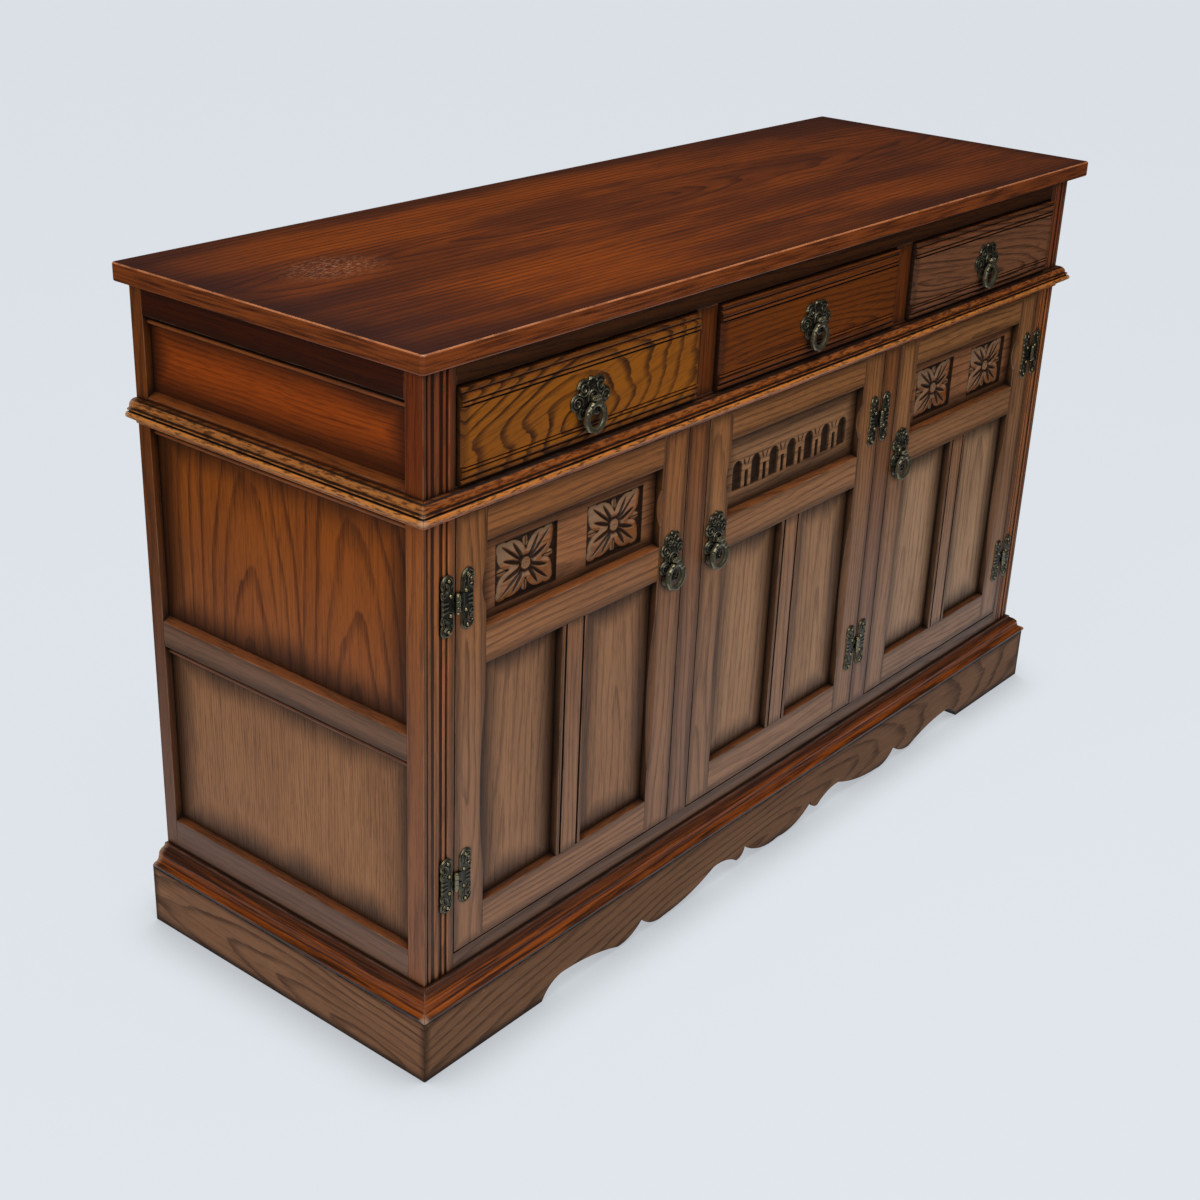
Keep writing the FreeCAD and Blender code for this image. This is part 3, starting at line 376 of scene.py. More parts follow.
leaf = casting(
    (-0.2, -leaf_half - 0.2), (leaf_width + 0.4, leaf_half + 0.2), 0.48, fold_down,
    fillet=2.0,
    lobes=[
        (disc, 9.9, leaf_half - 9.4, 9.3), (bar, (6.2, 0.0), (6.2, 25.0), 6.1),
        (bar, (9.0, 0.0), (9.0, 10.5), 8.6), (disc, 13.4, 14.6, 5.6),
    ],
    holes=[
        (disc, leaf_width + 0.3, 2.9, 2.5), (disc, leaf_width + 0.3, 8.6, 2.5),
        (bow, (15.6, 20.4), 4.0, 95, 130, 1.15),
    ],
    edge=(1.1, 1.1),
    dome=(0.0, 1.0, 1.0, 0.0, 1.0),
    features=[
        (0.75, 0.9, bow, (9.9, leaf_half - 9.4), 6.9, 20, 200, 0.0),
        (0.6, 0.8, bow, (15.2, 20.4), 7.0, 110, 130, 0.0),
        (0.7, 0.7, disc, 14.6, 14.2, 2.2),
        (0.5, 0.8, bar, (2.4, 0.0), (2.4, 22.0), 0.0),
        (0.8, 1.1, bar, (10.0, 0.0), (16.5, 0.0), 0.0),
        (0.8, 1.1, bar, (10.0, 4.64), (16.5, 5.8), 0.0),
    ] + [(-0.9, 0.7, disc, *nail, 2.5) for nail in leaf_nails],
    limits=(0.0, 3.0),
)
nail_head = turned([(2.1, 1.2), (2.1, 2.0), (1.8, 2.7), (1.2, 3.2), (0.6, 3.38), (0, 3.4)], 14)


def knuckle(height):
    edge = 0.45
    slim = knuckle_radius - edge
    return turned([(slim, 0), (knuckle_radius, edge), (knuckle_radius, height - edge), (slim, height)], 22)


def hinge_half(metal, x, side, z, on_frame):
    """One leaf with its knuckles about the upright line at x; side points from the line to the leaf."""
    set_back = frame_set_back if on_frame else door_set_back
    metal.add(leaf, facing(x + side * set_back, front_y, z, side))
    for nail_u, nail_v in leaf_nails:
        for flip in (-1, 1):
            metal.add(nail_head, facing(x + side * (set_back + nail_u), front_y, z + flip * nail_v), 1.0)
    if on_frame:
        spans = [(-middle_half, middle_half)]
    else:
        spans = [(-barrel_half, -middle_half - knuckle_gap), (middle_half + knuckle_gap, barrel_half)]
    reach = set_back + strap_overlap
    strap = [(0.2, 0.35), (0.2, 1.75), (2.2, 2.7), (reach - 2, 2.9), (reach, 2.3), (reach, 0.35)]
    for low, high in spans:
        metal.add(knuckle(high - low), upright(x, barrel_y, z + low))
        stations = (low, low + strap_ease, high - strap_ease, high)
        # A strap's faces look inwards, which keeps it dark beside the bright knuckles
        points, faces = prism(strap, stations, 1)
        metal.add((points, [face[::-1] for face in faces]), facing(x, front_y, z, side))
    if on_frame:
        end = barrel_half + knuckle_gap
        metal.add(turned([(1.3, -end), (1.3, end)], 12), upright(x, barrel_y, z))
        for flip in (-1, 1):
            tip = turned([(radius, flip * along) for radius, along in pin_tip][::flip], 14)
            metal.add(tip, upright(x, barrel_y, z + flip * end), 1.0)


# Cast back plates of the ring pulls
plate_dome = 2.0
pivot_out = 9.0


def scroll_plate(half_u, half_v, lobes, holes, dome, features, eyes):
    """A back plate, both halves alike, with scrolls in relief and sunk eyes in them."""
    features = features + [(-2.0, 1.5, disc, *eye, 0.0) for eye in eyes]
    return casting((-half_u, -half_v), (half_u, half_v), 0.55, fold_across, 1.6, lobes, holes, (1.3, 1.6),
                   (plate_dome, *dome), features, (0.6, 5.2))


drawer_plate = scroll_plate(
    32.8, 23.6,
    lobes=[
        (bar, (0.0, -2.5), (9.0, -2.5), 15.0), (disc, 12.6, 11.2, 10.6), (disc, 0.0, 17.6, 5.6),
        (disc, 22.6, -2.2, 9.8), (disc, 12.6, -13.6, 9.2), (disc, 0.0, -18.2, 5.0),
    ],
    holes=[(disc, 20.4, 10.2, 2.6)],
    dome=(1.0, 1.25, 30, 20),
    features=[
        (1.1, 0.9, swirl, (13.2, 11.4), 2.2, 8.6, 200, 1.5),
        (1.1, 0.85, swirl, (23.2, -2.4), 1.8, 7.8, 60, 1.4),
        (0.8, 0.8, swirl, (13.0, -14.2), 1.6, 6.8, 300, 1.3),
        (0.9, 0.8, bow, (0.0, 13.2), 8.2, 20, 140, 0.0),
    ],
    eyes=[(13.2, 11.4), (23.2, -2.4), (13.0, -14.2)],
)
door_plate = scroll_plate(
    21.6, 36.7,
    lobes=[
        (bar, (0.0, -17.0), (0.0, 12.0), 13.0), (disc, 7.0, 26.4, 7.2), (disc, 0.0, 32.6, 3.7),
        (disc, 12.2, 14.2, 8.6), (disc, 12.2, -8.0, 8.7), (disc, 7.4, -23.2, 8.0), (disc, 0.0, -31.6, 4.7),
    ],
    holes=[(disc, 6.6, 26.4, 2.2), (disc, 0.0, 19.6, 1.9)],
    dome=(1.5, 0.9, 33, 22),
    features=[
        (1.0, 0.8, swirl, (6.6, 26.4), 3.2, 6.2, 250, 1.1),
        (1.1, 0.85, swirl, (12.6, 14.2), 1.8, 7.2, 180, 1.5),
        (1.1, 0.85, swirl, (12.8, -8.2), 1.8, 7.2, 80, 1.4),
        (0.9, 0.8, swirl, (7.6, -23.4), 1.6, 6.4, 300, 1.4),
    ],
    eyes=[(12.6, 14.2), (12.8, -8.2), (7.6, -23.4)],
)
plate_boss = turned(
    [(9.0, 2.0), (9.0, 3.8), (8.2, 4.8), (6.9, 5.0), (6.3, 4.3), (5.4, 4.3), (4.4, 5.4), (0, 5.9)], 28,
)
ear_disc = turned([(2.5, 0), (3.0, 0.5), (3.0, 1.9), (2.5, 2.4)], 20)
ear_arm = [(-2.9, 4.0), (2.9, 4.0), (2.6, 9.2), (-2.6, 9.2)]
ring_pin = turned(
    [(0, -6.9), (1.2, -6.7), (1.7, -6.2), (1.3, -5.8), (1.3, 5.8), (1.7, 6.2), (1.2, 6.7), (0, 6.9)], 12,
)


def pull_plate(metal, shape, x, face_y, z, rise):
    """Plate, boss, ears and pin; the pin is at pivot_out from the face and rise above the plate's middle."""
    metal.add(shape, facing(x, face_y, z))
    metal.add(plate_boss, facing(x, face_y, z + rise))
    pivot_y = face_y - pivot_out
    for disc_start, arm_start in ((-6.0, -5.8), (3.6, 3.8)):
        metal.add(ear_disc, level(x + disc_start, pivot_y, z + rise))
        metal.add(prism(ear_arm, (arm_start, arm_start + 2.0), 0), facing(x, face_y, z + rise))
    metal.add(ring_pin, level(x, pivot_y, z + rise), 0.4)


# The ring hangs below its pin
ring_corners = [(0.0, 1.0), (0.38, 1.0), (0.86, 0.56), (1.0, -0.16), (0.70, -0.70), (0.0, -1.0)]
ring_section = [(0.0, 1.3), (0.2, 2.9), (0.46, 3.2), (0.74, 2.8), (1.0, 1.5)]
ring_steps = 14
ring_notches = (34, 62)
ring_half = np.array((18.5, 18.5))
ring_hole = np.array((10.5, 12.0))
hole_middle = np.array((0.0, 1.0))
ring_top = 3.6


def pull_ring():
    """A faceted lozenge with an oval hole: sections all round, from the outer rim to the hole."""
    corners = ring_corners + [(-across, up) for across, up in ring_corners[-2:0:-1]]
    corners = [np.array(corner) * ring_half for corner in corners]
    rim = []
    for start, end in zip(corners, corners[1:] + corners[:1]):
        rim += [start + (end - start) * i / ring_steps for i in range(ring_steps)]
    rim = np.array(rim)
    for _ in range(3):
        rim = (np.roll(rim, 1, 0) + 2 * rim + np.roll(rim, -1, 0)) / 4
    section = ring_section + [(share, -height) for share, height in ring_section[::-1]]
    points = []
    for outer in rim:
        across, up = outer - hole_middle
        angle = math.atan2(up / ring_hole[1], across / ring_hole[0])
        inner = hole_middle + ring_hole * (math.cos(angle), math.sin(angle))
        turn = abs(math.degrees(math.atan2(across, up)))
        notch = 1 - 0.28 * sum(math.exp(-(((turn - at) / 4.0) ** 2)) for at in ring_notches)
        for share, height in section:
            u, v = outer * (1 - share) + inner * share
            points.append((u, v - ring_top - ring_half[1], height if abs(height) < 2 else height * notch))
    rows = rows_of(len(points), len(section))
    return outward(points, loft(rows + rows[:1]))


ring_shape = pull_ring()
ring_eye = turned([(2.6, -3.3), (3.2, -2.8), (3.2, 2.8), (2.6, 3.3)], 20)
ring_throat = prism([(-2.9, -2.4), (2.9, -2.4), (2.9, 2.4), (-2.9, 2.4)], (-6.6, -0.5), 1)


def ring(node, x, pivot_y, pivot_z):
    metal = Metal(node)
    metal.add(ring_shape, facing(x, pivot_y, pivot_z))
    metal.add(ring_eye, level(x, pivot_y, pivot_z))
    metal.add(ring_throat, facing(x, pivot_y, pivot_z))
    metal.finish()


# Carved panels
carved_hollow_shade = 0.92
rubbed_wear = 0.12
carved_rim = (panel_tongue, 0.034, 0.95)
rosette_half = (49.0, 35.0)
rosette_places = (-75.0, 75.0)
rosette_drop = 3.75
rosette_margin = 2.4
petal_shares = [(0.0, 0.52), (0.26, 0.92, 0.64, 0.97), (0.95, 0.95, 0.96, 0.62), (0.90, 0.26, 0.58, 0.0)]
petal_cuts = [(2, 6, 48, 2.4, 2.4), (19, 6, 36, 3.0, 2.4), (-17, 6, 38, 3.0, 2.4)]
petal_reach = 0.97
spear_tips = (32.2, 45.4)
rosette_depth = 3.4
boss_radius = 8.2
boss_reaches = [0, 1.6, 2.6, 4.2, 5.6, 6.7, 7.6, boss_radius]
boss_depths = [0.7, 0.5, 0.1, 0.6, 0.1, 0.5, 1.7, rosette_depth]


def outline_distance(u, v, outline):
    """Distance to an open outline, and whether a point is on the side of the middle."""
    best = np.full(u.shape, 1e3)
    inside = np.zeros(u.shape, bool)
    closed = list(outline) + [(0.0, 0.0)]
    for i, (start, end) in enumerate(zip(closed, closed[1:] + closed[:1])):
        if i < len(outline) - 1:
            best = np.minimum(best, bar(u, v, start, end, 0.0))
        crosses = (start[1] > v) != (end[1] > v)
        reach = (end[0] - start[0]) * (v - start[1]) / ((end[1] - start[1]) or 1e-12) + start[0]
        inside ^= crosses & (u < reach)
    return np.where(inside, -best, best)


def rosette_cut(a, b):
    """Depth, painted shade and rub of a rosette at a and b from its middle."""
    u, v = np.abs(a), np.abs(b)
    away = np.hypot(u, v)
    half_u, half_v = rosette_half[0] * petal_reach, rosette_half[1] * petal_reach
    outline = curve_points(petal_shares, half_u, half_v, 1.5)
    inside = -outline_distance(u, v, outline)
    axis = math.degrees(math.atan2(rosette_half[1], rosette_half[0]))
    turn = np.degrees(np.arctan2(v, u)) - axis
    rise = np.interp(away, [8, 11, 15, 24, 38, 58], [2.6, 1.0, 0.0, 0.5, 1.3, 2.2])
    petal = rise + 1.0 * smooth(-inside, -7.0, 0) ** 1.5
    groove = np.zeros(u.shape)
    for angle, start, end, half, deep in petal_cuts:
        off = np.abs(away * np.sin(np.radians(turn - angle)))
        share = np.clip((away - start) / (end - start), 0, 1)
        taper = np.sqrt(np.clip(3.2 * share * (1 - share), 0, 1)) + 0.3 * (1 - share) * (share > 0)
        groove = np.maximum(groove, taper * np.clip(1 - off / np.maximum(half * taper, 1e-6), 0, 1) * deep)
    petal = petal + groove
    on_petal = smooth(inside, 0.0, 1.2)
    depth = rosette_depth - (rosette_depth - petal) * on_petal
    # Painted shade: a dark outline round each petal, in the cuts, about the spears and round the boss
    edge_dark = 1 - smooth(inside, 0.9, 1.9)
    dark = np.maximum(edge_dark, smooth(groove, 0.1, 0.8))
    dark = np.maximum(dark, smooth(-away, -13.0, -9.0))
    for across, up, foot, tip in zip((u, v), (v, u), (0.58 * half_v, 0.64 * half_u), spear_tips):
        share = np.clip((up - foot) / (tip - foot), 0, 1)
        edge = 4.6 * np.sqrt(4 * share * (1 - share)) - across
        edge = np.where((up > foot) & (up < tip), edge, -5.0)
        on_spear = smooth(edge, -0.2, 0.8)
        spear = 1.5 + 0.3 * across + 1.5 * np.clip(1 - across / 1.4, 0, 1)
        depth = np.minimum(depth, rosette_depth - (rosette_depth - spear) * on_spear)
        dark = np.where((on_petal < 0.5) & (on_spear > 0.5), smooth(-across, -1.6, 0), dark)
    boss = np.interp(away, boss_reaches, boss_depths)
    depth = np.where(away < boss_radius, boss, depth)
    dark = np.where(away < 7.4, smooth(boss, 0.3, 1.2) * 0.6, dark)
    wall = np.minimum(rosette_half[0] - u, rosette_half[1] - v)
    # Painted shade: a thin dark line along the pocket's edge on all four sides
    line = smooth(-np.abs(wall - 0.3), -1.5, -0.9)
    dark = np.where(wall > 0, np.maximum(dark, line), line)
    rubbed = np.where(wall > 0, on_petal * (1 - dark), 0.0)
    depth = np.where(wall > 0, depth * smooth(wall, 0, 0.8), 0.0)
    return depth, dark, rubbed


arch_offsets = [(i - 3) * 39.2 for i in range(7)]
arch_half = 9.8
arch_rise = 39.0
arch_foot = 25.5
slot_half = 3.6
slot_rise = 23.0
arch_depth = 4.6
slot_depth = 3.4


def arcade_cut(a, b):
    """Depth, painted shade and rub of the row of arches; b is measured up from their foot."""
    depth = np.zeros(a.shape)
    for offset in arch_offsets:
        across = a - offset
        head = arch_rise - arch_half
        below = np.minimum(arch_half - np.abs(across), b)
        inside = np.where(b < head, below, arch_half - np.hypot(across, b - head))
        sunk = arch_depth * smooth(inside, 0, 1.0) * (0.12 + 0.88 * smooth(b, 0.5, 7.5))
        depth = np.maximum(depth, sunk)
    for offset in [(low + high) / 2 for low, high in zip(arch_offsets, arch_offsets[1:])]:
        across = np.abs(a - offset)
        inside = np.minimum(np.minimum(slot_half - across, b), slot_rise - b)
        depth = np.maximum(depth, slot_depth * smooth(inside, 0, 0.9))
        nick = bar(across, b, (2.8, 30.0), (6.0, 38.0), 0.0)
        share = np.clip((b - 28.5) / 11, 0, 1)
        wide = np.maximum(1.7 * np.sqrt(4 * share * (1 - share)), 1e-6)
        depth = np.maximum(depth, 1.5 * np.clip(1.3 - nick / wide, 0, 1))
    # Painted shade: the sunk arches, slots and nicks are darkened by their depth
    return depth, smooth(depth, 0.2, 1.1), np.zeros(a.shape)


def lines(start, end, spans, close=0.62, wide=6.0):
    """Places from start to end: close together within the spans, wide apart elsewhere."""
    marks = [start] + [edge for span in spans for edge in span] + [end]
    values = []
    for i, (a, b) in enumerate(zip(marks, marks[1:])):
        count = max(1, int(math.ceil((b - a) / (close if i % 2 else wide))))
        values += [a + (b - a) * k / count for k in range(count)]
    return np.array(values + [end])


def carved(node, spans_x, spans_z, cut_at, finish):
    """A panel whose front is cut to a depth and painted dark with shade in its hollows, with close lines where
    it is carved.
    """
    low, high = (np.array(corner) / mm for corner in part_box(node))
    x, z = np.meshgrid(lines(low[0], high[0], spans_x), lines(low[2], high[2], spans_z), indexing="ij")
    depth, dark, rubbed = cut_at(x, z)
    points = np.stack([x, low[1] + depth, z], -1).reshape(-1, 3)
    start = len(points)
    index = np.arange(start).reshape(x.shape)
    faces = np.stack([index[:-1, :-1], index[1:, :-1], index[1:, 1:], index[:-1, 1:]], -1)
    faces = faces.reshape(-1, 4).tolist()
    worn = [rubbed_wear * rubbed.ravel()[face[0]] for face in faces]
    border = [*index[:, 0], *index[-1, 1:], *index[-2::-1, -1], *index[0, -2:0:-1]]
    back = points[border].copy()
    back[:, 1] = high[1]
    count = len(border)
    faces += [(border[(i + 1) % count], border[i], start + i, start + (i + 1) % count) for i in range(count)]
    faces.append(tuple(start + i for i in reversed(range(count))))
    worn += [0.0] * (count + 1)
    hollow_shade = np.concatenate([carved_hollow_shade * dark.ravel(), np.zeros(count)])
    timber = Timber(node)
    points = np.vstack([points, back]) * mm
    timber.board(points, faces, worn, stain_and_sheen=stains_and_sheen[node][0], rim=carved_rim, hollow_shade=hollow_shade)
    timber.finish(finish, "panel_oak", carved_sharp)


class Timber:
    """Collects boards into the piece that replaces a node, with the values that the oak material reads."""

    def __init__(self, node):
        self.node = node
        self.name = node + "_wood"
        self.points, self.faces, self.worn, self.values = [], [], [], {}
        self.count = 0

    def board(self, points, faces, worn, axis=None, stain_and_sheen=plain_stain, figure=None, rim=plain_rim, hollow_shade=None,
              chafe=0.0):
        """Adds one board. The grain runs along axis, or along the longest side.

        A figure is the tilt of the rings, the pith's offset and depth, rings to the metre, half the distance
        between twin flames, boldness and slant in degrees."""
        points = np.array(points, float)
        low, high = points.min(0), points.max(0)
        size = high - low
        along = int(np.argmax(size)) if axis is None else axis
        side, thin = sorted((i for i in range(3) if i != along), key=lambda i: -size[i])
        draw = random.Random(self.name + str(self.count))
        if figure is None:
            depth = draw.uniform(0.0, 0.03)
            rings = draw.uniform(80, 140)
            slant = draw.uniform(-1, 1)
            figure = (draw.uniform(0.02, 0.06), draw.uniform(-0.05, 0.05), depth, rings, 0.0, 0.42, slant)
        tilt, offset, depth, rings, twin, bold, slant = figure
        slant = math.radians(slant)
        local = (points - (low + high) / 2)[:, [along, side, thin]]
        run, wide = local[:, 0].copy(), local[:, 1].copy()
        local[:, 0] = run * math.cos(slant) + wide * math.sin(slant)
        local[:, 1] = wide * math.cos(slant) - run * math.sin(slant)
        total = len(points)
        below, above = points - low, high - points
        rows = {
            "grain": [tuple(p) for p in local],
            "figure": [(tilt, offset, depth)] * total,
            "stain_and_sheen": [stain_and_sheen] * total,
            "side_gap": list(zip(below[:, side], above[:, side], [twin] * total)),
            "end_gap": list(zip(below[:, along], above[:, along], [rings] * total)),
            "rim": [rim] * total,
            "seed": [draw.uniform(0, 10)] * total,
            "bold": [bold] * total,
            "chafe": [chafe] * total,
            "hollow_shade": [0.0] * total if hollow_shade is None else list(hollow_shade),
        }
        for key, values in rows.items():
            self.values.setdefault(key, []).extend(values)
        start = len(self.points)
        self.points += [tuple(p) for p in points]
        self.faces += [tuple(start + i for i in face) for face in faces]
        self.worn += list(worn)
        self.count += 1

    def finish(self, material, slot_name, sharp=wood_sharp):
        values = {key: ("POINT", rows) for key, rows in self.values.items()}
        values["worn"] = ("FACE", self.worn)
        piece = build(self.name, self.node, material, self.points, self.faces, values, sharp)
        piece.modifiers.new("even_shading", "WEIGHTED_NORMAL").keep_sharp = True


def link(name, data):
    piece = bpy.data.objects.new(name, data)
    bpy.context.scene.collection.objects.link(piece)
    return piece


def build(name, node, material, points, faces, values, sharp):
    """Makes the piece that replaces a node; values gives each attribute's domain and rows."""
    mesh = bpy.data.meshes.new(name)
    mesh.from_pydata(points, [], faces)
    mesh.update()
    for key, (domain, rows) in values.items():
        rows = np.array(rows, np.float32)
        kind, field = ("FLOAT_VECTOR", "vector") if rows.ndim == 2 else ("FLOAT", "value")
        mesh.attributes.new(key, kind, domain).data.foreach_set(field, rows.ravel())
    mesh.shade_smooth()
    mesh.set_sharp_from_angle(angle=sharp)
    mesh.materials.append(material)
    piece = link(name, mesh)
    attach(piece, nodes[node]["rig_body"])
    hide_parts(node)
    return piece


def solids(node):
    """The closed solids of a node's mesh, each as points and faces."""
    mesh = nodes[node].data
    places = np.empty(len(mesh.vertices) * 3, np.float64)
    mesh.vertices.foreach_get("co", places)
    keys = [tuple(key) for key in np.round(places.reshape(-1, 3) / weld).astype(np.int64)]
    found, faces, unmatched = [], [], set()
    for polygon in mesh.polygons:
        face = [keys[i] for i in polygon.vertices]
        if len(set(face)) < 3:
            continue
        faces.append(face)
        for a, b in zip(face, face[1:] + face[:1]):
            if (b, a) in unmatched:
                unmatched.discard((b, a))
            else:
                unmatched.add((a, b))
        if not unmatched:
            found.append(faces)
            faces = []
    if faces:
        found.append(faces)
    return [(np.array(corners, float) * weld, faces) for corners, faces in map(indexed, found)]


def eased(points, faces, width):
    """The same solid with its outer arrises eased; returns points, faces and which faces are worn."""
    bm = bmesh.new()
    verts = [bm.verts.new(p) for p in points]
    for face in faces:
        try:
            bm.faces.new([verts[i] for i in face])
        except ValueError:
            continue
    bmesh.ops.recalc_face_normals(bm, faces=bm.faces)
    bmesh.ops.dissolve_limit(bm, angle_limit=flat_angle, verts=bm.verts, edges=bm.edges)
    arrises = [e for e in bm.edges if e.is_manifold and e.calc_face_angle_signed() > arris_angle]
    if width > 0 and arrises:
        bmesh.ops.bevel(
            bm, geom=arrises, offset=width, offset_type="OFFSET", segments=2, profile=0.5,
            affect="EDGES", clamp_overlap=False, material=1,
        )
    bm.verts.index_update()
    points = [tuple(v.co) for v in bm.verts]
    faces = [[v.index for v in f.verts] for f in bm.faces]
    worn = [float(f.material_index) for f in bm.faces]
    bm.free()
    return points, faces, worn


class Term:
    """A shader's socket that adds, subtracts and multiplies as a number does."""

    def __init__(self, shader, socket):
        self.shader = shader
        self.socket = socket

    def __add__(self, other):
        return self.shader.math("ADD", self, other)

    def __sub__(self, other):
        return self.shader.math("SUBTRACT", self, other)

    def __rsub__(self, other):
        return self.shader.math("SUBTRACT", other, self)

    def __mul__(self, other):
        return self.shader.math("MULTIPLY", self, other)

    def __abs__(self):
        return self.shader.math("ABSOLUTE", self)


class Shader:
    """The nodes of a material or world, written as sums of terms."""

    def __init__(self, owner):
        owner.use_nodes = True
        self.owner = owner
        self.tree = owner.node_tree
        self.tree.nodes.clear()

    def node(self, kind, inputs=(), **settings):
        made = self.tree.nodes.new(kind)
        for key, value in settings.items():
            setattr(made, key, value)
        for key, value in dict(inputs).items():
            if isinstance(value, Term):
                self.tree.links.new(value.socket, made.inputs[key])
            elif value is not None:
                made.inputs[key].default_value = value
        return made

    def term(self, output, kind, inputs=(), **settings):
        return Term(self, self.node(kind, inputs, **settings).outputs[output])

    def math(self, operation, a, b=None, clamp=False):
        return self.term(0, "ShaderNodeMath", {0: a, 1: b}, operation=operation, use_clamp=clamp)

    def most(self, first, *others, operation="MAXIMUM"):
        for other in others:
            first = self.math(operation, first, other)
        return first

    def least(self, *values):
        return self.most(*values, operation="MINIMUM")

    def vector(self, operation, a, b=None, scale=None):
        output = "Value" if operation == "LENGTH" else "Vector"
        return self.term(output, "ShaderNodeVectorMath", {0: a, 1: b, "Scale": scale}, operation=operation)

    def attribute(self, name, output="Fac"):
        return self.term(output, "ShaderNodeAttribute", attribute_name=name)

    def parts(self, name):
        return self.split(self.attribute(name, "Vector"))

    def place(self):
        return self.term("Object", "ShaderNodeTexCoord")

    def normal(self):
        return self.term("Normal", "ShaderNodeNewGeometry")

    def openness(self, distance, samples=8):
        """One in the open, less within the given distance of other surfaces."""
        return self.term("AO", "ShaderNodeAmbientOcclusion", {"Distance": distance}, samples=samples)

    def split(self, vector):
        return [Term(self, socket) for socket in self.node("ShaderNodeSeparateXYZ", {"Vector": vector}).outputs]

    def join(self, x, y, z):
        return self.term(0, "ShaderNodeCombineXYZ", {"X": x, "Y": y, "Z": z})

    def noise(self, place, stretch=None, detail=3.0, rough=0.55, scale=1.0, output="Fac"):
        if stretch:
            place = self.vector("MULTIPLY", place, stretch)
        inputs = {"Vector": place, "Scale": scale, "Detail": detail, "Roughness": rough}
        return self.term(output, "ShaderNodeTexNoise", inputs)

    def step(self, value, low, high, to_low=0.0, to_high=1.0):
        inputs = {"Value": value, "From Min": low, "From Max": high, "To Min": to_low, "To Max": to_high}
        return self.term(0, "ShaderNodeMapRange", inputs, interpolation_type="SMOOTHSTEP")

    def band(self, value, middle, half):
        """One within half of the middle value, fading to nothing at its edges."""
        return self.step(abs(value - middle), half, half * 0.6)

    def mix(self, factor, a, b, blend="MIX"):
        return self.term(2, "ShaderNodeMix", {0: factor, 6: a, 7: b}, data_type="RGBA", blend_type=blend)

    def bump(self, height, strength, distance):
        return self.term(0, "ShaderNodeBump", {"Height": height, "Strength": strength, "Distance": distance})

    def show(self, surface, kind="ShaderNodeOutputMaterial"):
        self.node(kind, {"Surface": surface})
        return self.owner

    def principled(self, **inputs):
        inputs = {key.replace("_", " "): value for key, value in inputs.items()}
        return self.show(self.term(0, "ShaderNodeBsdfPrincipled", inputs))


def srgb(red, green, blue):
    """A colour given as it looks on a screen, 0 to 255."""
    shares = [value / 255 for value in (red, green, blue)]
    linear = [s / 12.92 if s <= 0.04045 else ((s + 0.055) / 1.055) ** 2.4 for s in shares]
    return tuple(linear) + (1.0,)


# Each wood: its light and dark tone, its pores and its worn arrises
stained = (srgb(164, 92, 36), srgb(104, 50, 16), srgb(34, 16, 6), srgb(196, 156, 126))
unstained = (srgb(190, 150, 110), srgb(150, 108, 72), srgb(110, 76, 50), srgb(205, 170, 130))
plywood = (srgb(160, 120, 84), srgb(126, 88, 58), srgb(92, 62, 40), srgb(170, 135, 100))


